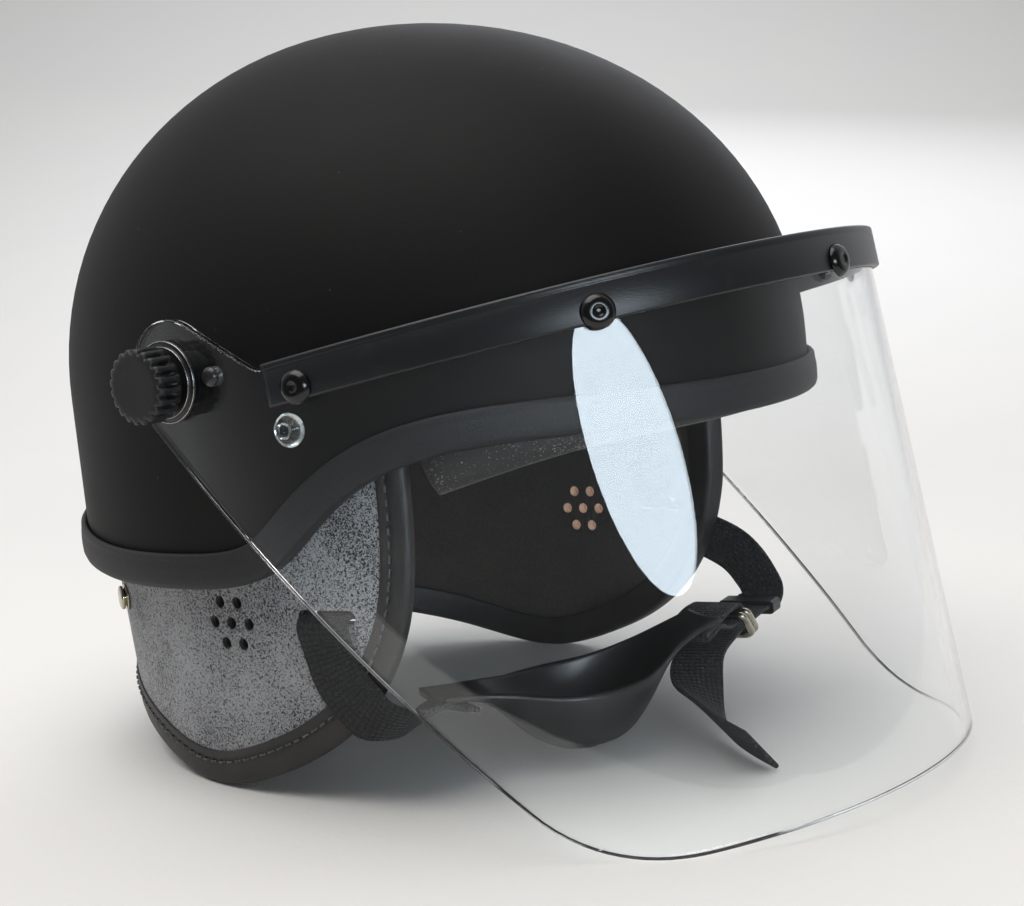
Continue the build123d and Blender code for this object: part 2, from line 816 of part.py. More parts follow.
# Detent stud and clear bumper on each ear
stud_profile = (
    (0, stud_height), (stud_radius * 0.6, stud_height), (stud_radius, hole_gap),
    (stud_shank_radius, hole_gap), (stud_shank_radius, rivet_back), (stud_radius, rivet_back),
    (stud_radius * 0.8, rivet_back - stud_tail_height), (0, rivet_back - stud_tail_height),
)
bumper_profile = (
    (0, bumper_cap_height), (bumper_stem_radius * 1.5, bumper_cap_height),
    (bumper_stem_radius * 1.5, hole_gap), (bumper_stem_radius, hole_gap),
    (bumper_stem_radius, rivet_back), (bumper_radius, rivet_back),
    (bumper_radius * 0.7, rivet_back - bumper_height), (0, rivet_back - bumper_height),
)
for side, name in ((-1, "right"), (1, "left")):
    with BuildPart() as detent_stud:
        add(revolved(sheet_plane(side, arc_at(stud_forward), stud_drop), stud_profile))
    keep(f"{name}_detent_stud", detent_stud)
    with BuildPart() as visor_bumper:
        add(revolved(sheet_plane(side, arc_at(bumper_forward), bumper_drop), bumper_profile))
    keep(f"{name}_visor_bumper", visor_bumper)

# Pivot hardware, from inside the shell outward: screw, spacer, washer and knob
spacer_end = ear_outer + washer_play
washer_end = spacer_end + washer_thickness
knob_base = washer_end + washer_ring_height + hole_gap
screw_head = hidden_legs["left"][1][0].X - strap_thickness / 2 - strap_room
with BuildPart() as shell_core:
    add(dome(-hole_gap))
for side, name in ((-1, "right"), (1, "left")):
    axis_plane = Plane(origin=(0, pivot_y, pivot_z), x_dir=(0, 1, 0), z_dir=(side, 0, 0))
    with BuildPart() as pivot_screw:
        with BuildSketch(axis_plane.offset(screw_head)):
            Circle(screw_flange_radius)
        extrude(amount=-screw_flange_thickness)
        with BuildSketch(axis_plane.offset(screw_head)):
            Circle(screw_radius)
        extrude(amount=knob_base + knob_thread_depth - screw_head - hole_gap)
    keep(f"{name}_pivot_screw", pivot_screw)
    with BuildPart() as visor_spacer:
        with BuildSketch(axis_plane.offset(shell_half_width - overrun)):
            Circle(spacer_radius)
        extrude(amount=ear_outer - visor_thickness - spacer_play - shell_half_width + overrun)
        with BuildSketch(axis_plane.offset(shell_half_width - overrun)):
            Circle(spacer_boss_radius)
        extrude(amount=spacer_end - shell_half_width + overrun)
        with BuildSketch(axis_plane.offset(shell_half_width - overrun)):
            Circle(screw_radius + hole_gap)
        extrude(amount=overrun + overrun, mode=Mode.SUBTRACT)
        add(shell_core.part, mode=Mode.SUBTRACT)
    keep(f"{name}_visor_spacer", visor_spacer)
    with BuildPart() as pivot_washer:
        with BuildSketch(axis_plane.offset(spacer_end)):
            Circle(washer_radius)
        extrude(amount=washer_thickness)
        with BuildSketch(axis_plane.offset(washer_end)):
            Circle(washer_ring_radius)
        extrude(amount=washer_ring_height)
        with BuildSketch(axis_plane.offset(spacer_end)):
            Circle(screw_radius + hole_gap)
        extrude(amount=overrun, mode=Mode.SUBTRACT)
    keep(f"{name}_pivot_washer", pivot_washer)
    with BuildPart() as pivot_knob:
        with BuildSketch(axis_plane.offset(knob_base)):
            Circle(knob_collar_radius)
        extrude(amount=knob_collar_length)
        with BuildSketch(axis_plane.offset(knob_base + knob_collar_length)):
            Circle(knob_radius)
            with PolarLocations(knob_radius, knob_rib_count):
                Circle(knob_rib_radius)
        extrude(amount=knob_length - knob_collar_length)
        with BuildSketch(axis_plane.offset(knob_base)):
            Circle(screw_radius + running_gap)
        extrude(amount=knob_thread_depth, mode=Mode.SUBTRACT)
    keep(f"{name}_pivot_knob", pivot_knob)

# Chin straps: the visor screw passes the eye at the top of each hidden leg
for side, name, leg_shares in ((-1, "right", right_leg_shares), (1, "left", left_leg_shares)):
    axis_plane = Plane(origin=(0, pivot_y, pivot_z), x_dir=(0, 1, 0), z_dir=(side, 0, 0))
    with BuildPart() as chin_strap:
        add(webbing(hidden_legs[name] + turned(side, leg_shares), strap_width, strap_thickness))
        with BuildSketch(axis_plane.offset(screw_head - overrun)):
            Circle(screw_radius + hole_gap)
        extrude(amount=overrun + overrun, mode=Mode.SUBTRACT)
    keep(f"{name}_chin_strap", chin_strap)

# Buckle on the left strap: a frame with x against the strap's run and z across it
ring_station = turned(1, left_leg_shares)[ring_station_index]
next_station = turned(1, left_leg_shares)[ring_station_index + 1]
buckle = Plane(
    origin=ring_station[0], x_dir=ring_station[0] - next_station[0], z_dir=-ring_station[1]
)
ring_drop = ring_inner_depth + 2 * ring_wire
bar_x = -ring_drop / 2 * cos(radians(ring_tilt))
bar_y = ring_drop / 2 * sin(radians(ring_tilt)) + ring_rise
with BuildPart() as d_rings:
    for step in (0, 1):
        bar = buckle.from_local_coords(Vector(bar_x + step * ring_pitch, bar_y, 0))
        down = buckle.x_dir * cos(radians(ring_tilt)) - buckle.y_dir * sin(radians(ring_tilt))
        ring_plane = Plane(origin=bar, x_dir=buckle.z_dir, z_dir=buckle.z_dir.cross(down))
        half_bar = ring_inner_width / 2 + ring_wire
        with BuildLine(ring_plane) as ring_line:
            FilletPolyline(
                (-half_bar, 0), (half_bar, 0), (half_bar * ring_taper_share, ring_drop),
                (-half_bar * ring_taper_share, ring_drop), close=True,
                radius=(ring_wire, ring_wire, ring_corner, ring_corner),
            )
        ring_path = ring_line.wire()
        with BuildSketch(Plane(origin=ring_path @ 0, z_dir=ring_path % 0)):
            Circle(ring_wire)
        sweep(path=ring_path)
keep("d_rings", d_rings)

# Webbing loop that holds the rings' straight bars under the far wing of the chin cup
loop_gap = ring_wire + soft_gap + strap_thickness / 2
loop_far = bar_x - loop_reach
with BuildPart() as ring_loop:
    with BuildSketch(buckle):
        with BuildLine():
            FilletPolyline(
                (loop_far, loop_rise),
                (bar_x - ring_pitch, loop_rise),
                (bar_x + ring_pitch + loop_gap, bar_y + loop_gap),
                (bar_x + ring_pitch + loop_gap, bar_y - loop_gap),
                (bar_x - loop_gap, bar_y - loop_gap),
                (bar_x - ring_drop, loop_rise - strap_thickness - hole_gap),
                (loop_far, loop_rise - strap_thickness - hole_gap),
                radius=loop_gap * 0.9,
            )
        trace(line_width=strap_thickness)
    extrude(amount=strap_width / 2, both=True)
keep("ring_loop", ring_loop)

# Keeper: a moulded slider on the straight run of the left strap
keeper_start, keeper_end = (turned(1, left_leg_shares)[index][0] for index in keeper_run)
keeper_along = keeper_end - keeper_start
keeper_plane = Plane(
    origin=keeper_start + keeper_along * keeper_place_share,
    x_dir=turned(1, left_leg_shares)[keeper_run[0]][1],
    z_dir=keeper_along,
)
with BuildPart() as strap_keeper:
    with BuildSketch(keeper_plane):
        RectangleRounded(
            strap_width + 2 * soft_gap + 2 * keeper_wall,
            strap_thickness + 2 * soft_gap + 2 * keeper_wall, keeper_wall,
        )
        Rectangle(strap_width + 2 * soft_gap, strap_thickness + 2 * soft_gap, mode=Mode.SUBTRACT)
    extrude(amount=keeper_length / 2, both=True)
keep("strap_keeper", strap_keeper)

# Chin cup: a bowl with two wings, lofted through channel sections along its span. Shares of
# half the span, of the half width, of the depth, and of the depth for the rim's rise.
cup_shares = (
    (-1, 0.38, 0.04, 0.17), (-0.80, 0.40, 0.07, 0.13), (-0.58, 0.55, 0.26, 0.08),
    (-0.34, 0.84, 0.72, 0.02), (0, 1, 1, 0), (0.34, 0.84, 0.72, 0.04),
    (0.58, 0.55, 0.26, 0.16), (0.80, 0.40, 0.07, 0.30), (1, 0.38, 0.04, 0.40),
)
cup_turn = radians(cup_yaw)
cup_axis = Vector(cos(cup_turn), -sin(cup_turn), 0)
cup_across = Vector(sin(cup_turn), cos(cup_turn), 0)


def cup_station(span, rise):
    """Upright plane across the cup at a share of its half span, at the rim's height there."""
    centre = Vector(cup_x, cup_y, cup_rim_height + rise * cup_depth) + cup_axis * span * cup_span / 2
    return Plane(origin=centre, x_dir=cup_across, z_dir=cup_axis)


with BuildPart() as chin_cup:
    for span, width_share, depth_share, rise_share in cup_shares:
        half = cup_half_width * width_share
        depth = cup_depth * depth_share
        lip_in = cup_wall * depth_share
        lip_up = cup_wall * (1 - depth_share)
        with BuildSketch(cup_station(span, rise_share)):
            with BuildLine():
                outside = ThreePointArc((-half, 0), (0, -depth), (half, 0))
                inside = ThreePointArc((-half + lip_in, lip_up), (0, cup_wall - depth), (half - lip_in, lip_up))
                Line(outside @ 0, inside @ 0)
                Line(outside @ 1, inside @ 1)
            make_face()
    loft()
keep("chin_cup", chin_cup)

# Stand the helmet on its ear lobes and visor, the middle of its base at the origin
boxes = [(standing * piece.part).bounding_box() for piece in pieces.values()]
middle_y = (min(box.min.Y for box in boxes) + max(box.max.Y for box in boxes)) / 2
base_z = min(box.min.Z for box in boxes)
placing = Pos(0, -middle_y, -base_z) * standing
os.makedirs("parts", exist_ok=True)
for name, piece in pieces.items():
    placed = placing * piece.part
    placed.label = name
    export_step(placed, f"parts/{name}.step")
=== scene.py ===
import math

import bmesh
import bpy
import numpy as np
from mathutils import Matrix, Vector


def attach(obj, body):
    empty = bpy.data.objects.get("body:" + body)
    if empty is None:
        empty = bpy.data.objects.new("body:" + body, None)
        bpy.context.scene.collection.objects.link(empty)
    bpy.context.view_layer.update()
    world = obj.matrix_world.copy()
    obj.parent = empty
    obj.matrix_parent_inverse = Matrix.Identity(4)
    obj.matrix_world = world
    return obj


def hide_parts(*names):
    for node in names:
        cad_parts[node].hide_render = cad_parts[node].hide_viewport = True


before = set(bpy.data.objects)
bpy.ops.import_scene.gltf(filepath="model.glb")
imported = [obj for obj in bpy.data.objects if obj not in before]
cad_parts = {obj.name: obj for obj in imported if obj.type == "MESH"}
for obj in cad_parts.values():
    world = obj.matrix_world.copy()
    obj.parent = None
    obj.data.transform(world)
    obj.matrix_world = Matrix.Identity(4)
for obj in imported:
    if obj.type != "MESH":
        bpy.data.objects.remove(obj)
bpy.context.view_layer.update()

bl_info = {
    "name": "Police riot helmet",
    "version": (1, 0, 0),
    "blender": (4, 5, 0),
    "location": "3D View > Sidebar > Helmet",
    "description": "Dresses the helmet's fixed frame with smooth surfaces and finishes",
    "category": "Object",
}

# The helmet's own measures, in millimetres with the brow level and z = 0 under the ears:
# the shell's half width, front and rear lengths, crown above the waist and the waist's height
HALF_WIDTH, FRONT, REAR, CROWN, WAIST = 118.0, 153.5, 134.0, 125.4, 136.3
PLAN_POWER, CROWN_POWER = 2.145, 2.041
EAR_DROP = 60.0
# The brow is lifted by this angle in the frame, and the model moved to the frame's middle
LIFT = math.radians(2.07)
SHIFT = np.array([0.0, 32.16755, 0.34901])
FULL_TURN = 2 * math.pi

# Insets from the shell's skin
SHELL_WALL = 4.0
LINER_SKIN, LINER_FACE = 7.7, 22.2
PAD_BACK = 22.8
BROW_MIDDLE = 15.0
CURTAIN_SKIN, CURTAIN_BACK, LINING_SKIN, LINING_BACK = 8.8, 10.8, 11.1, 15.1

# Pads: thickness, height of the middle, and half width and half height of those on the wall
PAD_THICKNESS, PAD_HEIGHT, CROWN_PAD_RADIUS = 9.6, 150.0, 45.5
SIDE_PAD, END_PAD = (48, 23), (46, 22)
# The brow roll ends this far forward of the sides, in radians of the plan
BROW_END = 0.54

# The curtain leans out below its knee, reaches up inside the rim, and hangs back at the right:
# by how much, from which arc, and over which length
KNEE, FLARE, TURN_IN = 74.0, 0.06, 9.0
HANG, HANG_START, HANG_LENGTH = 7.0, 225.0, 60.0
# Ear holes: places in pitches, radius, pitch, row height and height of the middle; strap slot
HOLE_PLACES = ((-0.5, 1), (0.5, 1), (-1, 0), (0, 0), (1, 0), (-0.5, -1), (0.5, -1))
HOLE_RADIUS, HOLE_PITCH, HOLE_ROW, HOLES_HEIGHT = 2.15, 8.2, 7.3, 60.6
SLOT_Y, SLOT_Z, SLOT_HALF, SLOT_RADIUS = -41.6, 64.0, 8.5, 2.5
# The bars that cut them start outside the right side and end inside it, and are mirrored
CUTTER_REACH = (-140.0, -60.0)
# Stitches: line inward of the edge, half width and half thickness, inset of the ends, rise above them
STITCH_LINE, STITCH_HALF, STITCH_THICK, STITCH_ENDS, STITCH_RISE = 8.7, 0.45, 0.3, 8.25, 0.75
# Press fasteners: rearward of the middle, and height
SNAP_Y, SNAP_HEIGHT = 74.0, 62.0

# Visor: pivot and its lean, sheet, (radius, degrees) of the bends of one half, front reach
PIVOT = np.array([0.0, -7.2, 145.7])
LEAN = math.radians(9)
FORWARD = np.array([0.0, -math.cos(LEAN), math.sin(LEAN)])
UPWARD = np.array([0.0, math.sin(LEAN), math.cos(LEAN)])
SHEET = 3.0
SHEET_BENDS = ((122.7, 20.63), (114.3, 36.75), (192.6, 37.04))
QUARTER = sum(radius * math.radians(turn) for radius, turn in SHEET_BENDS)
REACH = 172.35
SHEET_TAIL = 18.7
SHEET_SOFT = 0.5
# Its side outline: ear, slants of its top and bottom in degrees, and the edges beyond them
EAR_RADIUS, EAR_CENTRE, TOP_SLANT, LOW_SLANT = 19.75, 1.0, 43.5, 52.4
TOP_EDGE, LOW_EDGE, LOW_RISE = -4.4, -171.1, 0.024
TOP_CORNER, TOP_ROUND, LOW_CORNER, LOW_ROUND = 38.5, 9, 110.5, 55
BEYOND = REACH + 12
# Band: where it ends, its top there, and how much that rises to the front
BAND_END, BAND_TOP, BAND_RISE = 42.5, -2.4, 3.4
# Rivets: arcs forward of the pivot, their height there and its rise
RIVET_ARCS, RIVET_DROP, RIVET_RISE = (53.3, 148.5), -12.4, 0.014
# Detent stud and bumper: forward of the pivot and above it
STUD_PLACE, BUMPER_PLACE = (20, -2), (44, -24)

# Pivots: outer face of the sheet's ear with its play, and the washer under the knob
EAR_FACE = 129.1 + 0.6
KNOB_SEAT = 2.1
KNOB_RADIUS, KNOB_RIBS, RIB_RISE, POCKET_DEPTH = 10.9, 20, 1.3, 1.1

# Cup: half length, half width, depth, wall, turn in plan and place of its rim's middle
CUP_HALF, CUP_HALF_WIDTH, CUP_DEPTH, CUP_WALL = 56, 26, 25, 2.4
CUP_TURN, CUP_PLACE = math.radians(24), np.array([-26, -82, 26])
# Its raised line as a share of the arc's half, and its grooves as shares of the half length
RIDGE_PLACE, GROOVE_PLACES = 0.42, (0.02, 0.12, 0.22, 0.32)
# Rings: height of the bar above the lower one, lean in degrees, and bar, play and webbing halves
RING_DROP, RING_LEAN = 12 + 2.8, math.radians(52)
LOOP_GAP = 1.4 + 0.3 + 0.9
# Station of the left leg that the loop starts over, and the heights of its two layers over it
LOOP_STATION, LOOP_HEIGHTS = 13, (11, 9.1)
# Fall of the webbing's width on the hidden leg
HIDDEN_FALL = -0.41
# Points closer than this are one, in metres
WELD, FINE_WELD = 0.00003, 0.00002

# Edges as (share of the front length, share of the ear's drop), rear to front
RIM = [(0.92, 0.82), (0.39, 0.995), (0.03, 1.0), (-0.20, 0.885), (-0.31, 0.655),
       (-0.49, 0.37), (-0.72, 0.265), (-1.06, 0.29)]
LINER_EDGE = [(0.92, 0.60), (0.39, 0.735), (0.03, 0.735), (-0.26, 0.54), (-0.49, 0.24),
              (-0.72, 0.17), (-1.06, 0.17)]
BROW_EDGE = [(-0.518, 0.57), (-0.62, 0.49), (-0.79, 0.38), (-0.93, 0.35), (-1.06, 0.35)]
# Lower edge of the curtain as (share of the front length, share of the waist's height)
CURTAIN_EDGE = [(0.89, 0.245), (0.65, 0.150), (0.423, 0.070), (0.150, 0.0), (-0.055, 0.044),
                (-0.326, 0.205), (-0.469, 0.44), (-0.505, 0.66), (-0.508, 0.93)]
# Straps in shares of half width, front length and waist height: (inset, y, z) on the wall, then
# ((x, y, z), direction across the webbing) in the open
HIDDEN_LEG = [(0.0510, -0.020, 1.140), (0.0510, -0.047, 1.069), (0.0510, -0.176, 0.763),
              (0.0510, -0.198, 0.724), (0.0930, -0.211, 0.677), (0.1480, -0.224, 0.632),
              (0.1510, -0.268, 0.515)]
SLOT_TURN = [((0.812, -0.271, 0.484), (0.22, 1, 0)), ((0.8265, -0.271, 0.4680), (0.22, 1, 0)),
             ((0.888, -0.271, 0.4685), (0.22, 1, 0)), ((0.9085, -0.271, 0.458), (0.22, 1, 0))]
RIGHT_LEG = SLOT_TURN + [
    ((0.902, -0.271, 0.410), (0.22, 0.95, -0.10)), ((0.899, -0.296, 0.323), (0.22, 0.90, -0.35)),
    ((0.883, -0.332, 0.257), (0.20, 0.85, -0.45)), ((0.872, -0.365, 0.224), (0.10, 0.82, -0.55)),
    ((0.831, -0.394, 0.202), (-0.10, 0.80, -0.60)), ((0.737, -0.407, 0.194), (-0.25, 0.80, -0.45)),
    ((0.655, -0.402, 0.203), (-0.35, 0.85, -0.10)), ((0.563, -0.424, 0.190), (-0.40, 0.90, 0))]
LEFT_LEG = SLOT_TURN + [
    ((0.903, -0.273, 0.425), (0.20, 0.90, -0.40)), ((0.894, -0.335, 0.385), (0.15, 0.60, -0.78)),
    ((0.872, -0.412, 0.362), (0.10, 0.42, -0.90)), ((0.854, -0.492, 0.325), (0.0, 0.55, -0.83)),
    ((0.845, -0.547, 0.262), (0.0, 0.85, -0.50)), ((0.836, -0.568, 0.218), (0.0, 1.0, -0.10)),
    ((0.805, -0.573, 0.1975), (-0.147, 1, 0)), ((0.6735, -0.588, 0.19525), (-0.147, 1, 0)),
    ((0.542, -0.603, 0.193), (-0.147, 1, 0)), ((0.441, -0.616, 0.187), (-0.14, 1, 0)),
    ((0.339, -0.626, 0.172), (-0.18, 1, 0)), ((0.237, -0.640, 0.140), (-0.35, 1, 0)),
    ((0.160, -0.672, 0.090), (-0.50, 0.8, 0.40)), ((0.085, -0.730, 0.048), (-0.54, 0.45, 0.70)),
    ((-0.015, -0.827, 0.028), (-0.54, 0.32, 0.78)), ((-0.125, -0.955, 0.022), (-0.54, 0.32, 0.78))]
# Stations of the cup: (place along, width, depth, rise) as shares of its sizes
CUP_STATIONS = [(-1, 0.38, 0.04, 0.17), (-0.80, 0.40, 0.07, 0.13), (-0.58, 0.55, 0.26, 0.08),
                (-0.34, 0.84, 0.72, 0.02), (0, 1, 1, 0), (0.34, 0.84, 0.72, 0.04),
                (0.58, 0.55, 0.26, 0.16), (0.80, 0.40, 0.07, 0.30), (1, 0.38, 0.04, 0.40)]


def placed(points):
    """Model millimetres to the row frame: y' = y cos a + z sin a + 32.17 and
    z' = z cos a - y sin a + 0.35, with a the lift of the brow, all over 1000."""
    x, y, z = np.moveaxis(np.asarray(points, float), -1, 0)
    c, s = math.cos(LIFT), math.sin(LIFT)
    return (np.stack([x, y * c + z * s, z * c - y * s], -1) + SHIFT) / 1000


def turned_to_frame(vector):
    """A direction of the model turned by the brow's lift, without the move."""
    x, y, z = vector
    c, s = math.cos(LIFT), math.sin(LIFT)
    return Vector((x, y * c + z * s, z * c - y * s))


def unit(vectors):
    """Vectors over their own length."""
    return vectors / np.linalg.norm(vectors, axis=-1, keepdims=True)


def length_along(points):
    """Length from the first point to each one, straight from point to point."""
    return np.r_[0, np.cumsum(np.linalg.norm(np.diff(points, axis=0), axis=1))]


def curve_through(points, count, measured=3):
    """Natural cubic through points over chord length t: on each run
    p = (M0 (t1-t)^3 + M1 (t-t0)^3) / 6g + the line that meets both ends, where the second
    derivatives M solve the usual tridiagonal system. The first `measured` columns give t."""
    points = np.asarray(points, float)
    steps = np.linalg.norm(np.diff(points[:, :measured], axis=0), axis=1)
    t = np.r_[0, np.cumsum(steps)]
    last = len(t) - 1
    k = np.arange(1, last)
    system = np.eye(len(t))
    system[k, k - 1], system[k, k + 1] = steps[:-1], steps[1:]
    system[k, k] = 2 * (steps[:-1] + steps[1:])
    slopes = np.diff(points, axis=0) / steps[:, None]
    right = np.zeros_like(points)
    right[1:-1] = 6 * np.diff(slopes, axis=0)
    second = np.linalg.solve(system, right)
    s = np.linspace(0, t[-1], count)
    i = np.clip(np.searchsorted(t, s, side="right") - 1, 0, last - 1)
    before, after, g = (s - t[i])[:, None], (t[i + 1] - s)[:, None], steps[i][:, None]
    curved = (second[i] * after ** 3 + second[i + 1] * before ** 3) / (6 * g)
    low, high = points[i] / g - second[i] * g / 6, points[i + 1] / g - second[i + 1] * g / 6
    return curved + low * after + high * before


def edge_below_waist(shares):
    """Points (y, z) of an edge given as shares of the front length and of the ear's drop."""
    return [(y * FRONT, WAIST - drop * EAR_DROP) for y, drop in shares]


def height_on(edge, y):
    """Height of a smooth edge at y: the cubic curve through its points, read across."""
    line = curve_through(edge, 500, 2)[::-1]
    return np.interp(y, line[:, 0], line[:, 1])


def on_shell(phi, inset, z):
    """Point at plan angle phi of a full oval: x = (a-n) k C, y = (L-n) k S, where C and S are
    the cosine and sine raised to 2/p with their signs kept, and k = (1 - (rise / (h-n))^q)^(1/q)
    above the waist and 1 below it, L the front or rear length."""
    phi, inset, z = np.broadcast_arrays(*(np.asarray(v, float) for v in (phi, inset, z)))
    length = np.where(np.sin(phi) < 0, FRONT, REAR) - inset
    rise = np.maximum(z - WAIST, 0) / (CROWN - inset)
    k = np.clip(1 - rise ** CROWN_POWER, 0, None) ** (1 / CROWN_POWER)
    c, s = (np.sign(v) * np.abs(v) ** (2 / PLAN_POWER) for v in (np.cos(phi), np.sin(phi)))
    return np.stack([(HALF_WIDTH - inset) * k * c, length * k * s, z], -1)


def outward_at(phi):
    """Plan normal of the oval: (C^(p-1) / a, S^(p-1) / L, 0) with C and S as on the shell."""
    length = np.where(np.sin(phi) < 0, FRONT, REAR)
    power = 2 - 2 / PLAN_POWER
    c, s = (np.sign(v) * np.abs(v) ** power for v in (np.cos(phi), np.sin(phi)))
    return unit(np.stack([c / HALF_WIDTH, s / length, np.zeros_like(phi)], -1))


def lattice_faces(rows, cols, along, around, start=0):
    """Quads between neighbours of a grid; along closes the rows and around the columns."""
    i, j = np.meshgrid(np.arange(rows if along else rows - 1),
                       np.arange(cols if around else cols - 1), indexing="ij")
    i1, j1 = (i + 1) % rows, (j + 1) % cols
    corners = np.stack([i * cols + j, i1 * cols + j, i1 * cols + j1, i * cols + j1], -1)
    return corners.reshape(-1, 4) + start


def mesh_from(name, points, faces, merge=0.0):
    """Mesh of points in the row frame and faces, doubles merged, every face turned outward."""
    mesh = bpy.data.meshes.new(name)
    mesh.from_pydata(points.reshape(-1, 3).tolist(), [], faces)
    shape = bmesh.new()
    shape.from_mesh(mesh)
    if merge:
        bmesh.ops.remove_doubles(shape, verts=shape.verts, dist=merge)
        bmesh.ops.dissolve_degenerate(shape, edges=shape.edges, dist=merge)
    bmesh.ops.recalc_face_normals(shape, faces=shape.faces)
    shape.to_mesh(mesh)
    shape.free()
    mesh.polygons.foreach_set("use_smooth", np.ones(len(mesh.polygons), bool))
    mesh.update()
    return mesh


def lattice(name, points, along=False, merge=0.0, texture=None):
    """Closed surface of a grid of model points, with an end face on the first and last row unless
    the rows close; `texture` holds each point's own pattern coordinates in millimetres, kept as a
    vector attribute named weave."""
    rows, cols = points.shape[:2]
    faces = lattice_faces(rows, cols, along, True).tolist()
    if not along:
        faces += [list(range(cols)), list(range((rows - 1) * cols, rows * cols))]
    mesh = mesh_from(name, placed(points), faces, merge)
    if texture is not None:
        held = mesh.attributes.new("weave", "FLOAT_VECTOR", "POINT")
        flat = np.concatenate([texture, np.zeros(texture.shape[:2] + (1,))], -1).reshape(-1, 3)
        held.data.foreach_set("vector", flat.astype(np.float32).ravel())
    return mesh


def repeated(name, rings):
    """Many small closed solids in one mesh: rings is (count, rows, columns, 3)."""
    count, rows, cols = rings.shape[:3]
    faces = []
    for index in range(count):
        start = index * rows * cols
        faces += lattice_faces(rows, cols, False, True, start).tolist()
        last = start + (rows - 1) * cols
        faces += [list(range(start, start + cols)), list(range(last, last + cols))]
    return mesh_from(name, placed(rings), faces)


def swept(centres, sides, ups, profile):
    """A profile carried along a path: P(i, j) = C(i) + p(j).x S(i) + p(j).y U(i)."""
    profile = np.asarray(profile, float)
    return centres[:, None] + profile[None, :, :1] * sides[:, None] + profile[None, :, 1:] * ups[:, None]


def turned_solid(origins, axes, profile, segments):
    """Profile (radius, height) turned about each axis: O + h A + r (cos t U + sin t V)."""
    origins, axes = np.atleast_2d(origins).astype(float), unit(np.atleast_2d(axes).astype(float))
    side = unit(np.cross(axes, np.array([0.03, 0.1, 1.0])))
    other = np.cross(axes, side)
    angle = np.linspace(0, FULL_TURN, segments, endpoint=False)
    ring = np.cos(angle)[None, :, None] * side[:, None] + np.sin(angle)[None, :, None] * other[:, None]
    profile = np.asarray(profile, float)
    return (origins[:, None, None] + profile[None, :, 1, None, None] * axes[:, None, None]
            + profile[None, :, 0, None, None] * ring[:, None])


def linear(code):
    """sRGB hex to linear: c / 12.92 below 0.04045, else ((c + 0.055) / 1.055) ^ 2.4."""
    parts = [int(code[i:i + 2], 16) / 255 for i in (1, 3, 5)]
    return tuple(c / 12.92 if c < 0.04045 else ((c + 0.055) / 1.055) ** 2.4 for c in parts) + (1.0,)


def add(tree, kind, values=(), **settings):
    """Add one node with its settings, and fill its sockets with numbers, colours or links: from an
    output, or from the first one that another node shows."""
    node = tree.nodes.new(kind)
    for key, value in settings.items():
        setattr(node, key, value)
    for key, value in dict(values).items():
        if isinstance(value, bpy.types.Node):
            value = next(socket for socket in value.outputs if socket.enabled)
        if isinstance(value, bpy.types.NodeSocket):
            tree.links.new(value, node.inputs[key])
        else:
            node.inputs[key].default_value = value
    return node


def start_material(name):
    """Empty node material, its tree and its Object coordinates."""
    material = bpy.data.materials.new(name)
    material.use_nodes = True
    material.node_tree.nodes.clear()
    return material, material.node_tree, add(material.node_tree, "ShaderNodeTexCoord").outputs["Object"]


def satin_black_paint():
    """Satin two-pack paint on moulded glass fibre: near black, a little brown, with a fine
    spray texture about a millimetre across. The matting grains leave only a broad weak highlight,
    so it reflects less than a smooth coat."""
    material, tree, place = start_material("satin_black_paint")
    patches = add(tree, "ShaderNodeTexNoise", {"Vector": place, "Scale": 14, "Detail": 3})
    spray = add(tree, "ShaderNodeTexNoise", {"Vector": place, "Scale": 900, "Detail": 3})
    spots = add(tree, "ShaderNodeTexVoronoi", {"Vector": place, "Scale": 75})
    dust = add(tree, "ShaderNodeMapRange", {"Value": spots, "From Min": 0.028, "From Max": 0.018},
               interpolation_type="SMOOTHSTEP")
    thin = add(tree, "ShaderNodeMath", {0: dust, 1: 0.22}, operation="MULTIPLY")
    base = add(tree, "ShaderNodeMix",
               {"Factor": patches, "A": linear("#121110"), "B": linear("#181615")}, data_type="RGBA")
    dusted = add(tree, "ShaderNodeMix",
                 {"Factor": thin, "A": base, "B": linear("#8a8682")}, data_type="RGBA")
    matting = add(tree, "ShaderNodeMapRange", {"Value": patches, "From Min": 0.2, "From Max": 0.8,
                  "To Min": 0.56, "To Max": 0.64}, interpolation_type="SMOOTHSTEP")
    relief = add(tree, "ShaderNodeBump", {"Height": spray, "Distance": 0.00009, "Strength": 0.5})
    shader = add(tree, "ShaderNodeBsdfPrincipled",
                 {"Base Color": dusted, "Roughness": matting, "IOR": 1.25, "Normal": relief})
    add(tree, "ShaderNodeOutputMaterial", {"Surface": shader})
    return material


def moulded_foam_rubber():
    """Extruded neoprene edging: dark grey, dull, with a pitted grain of about half a millimetre."""
    material, tree, place = start_material("moulded_foam_rubber")
    grain = add(tree, "ShaderNodeTexNoise", {"Vector": place, "Scale": 1500, "Detail": 2})
    fine = add(tree, "ShaderNodeTexNoise", {"Vector": place, "Scale": 2300, "Detail": 1})
    specks = add(tree, "ShaderNodeMapRange", {"Value": fine, "From Min": 0.60, "From Max": 0.72},
                 interpolation_type="SMOOTHSTEP")
    colour = add(tree, "ShaderNodeMix",
                 {"Factor": specks, "A": linear("#131315"), "B": linear("#2b2b2c")}, data_type="RGBA")
    relief = add(tree, "ShaderNodeBump", {"Height": grain, "Distance": 0.00025, "Strength": 0.6})
    shader = add(tree, "ShaderNodeBsdfPrincipled",
                 {"Base Color": colour, "Roughness": 0.62, "Normal": relief})
    add(tree, "ShaderNodeOutputMaterial", {"Surface": shader})
    return material


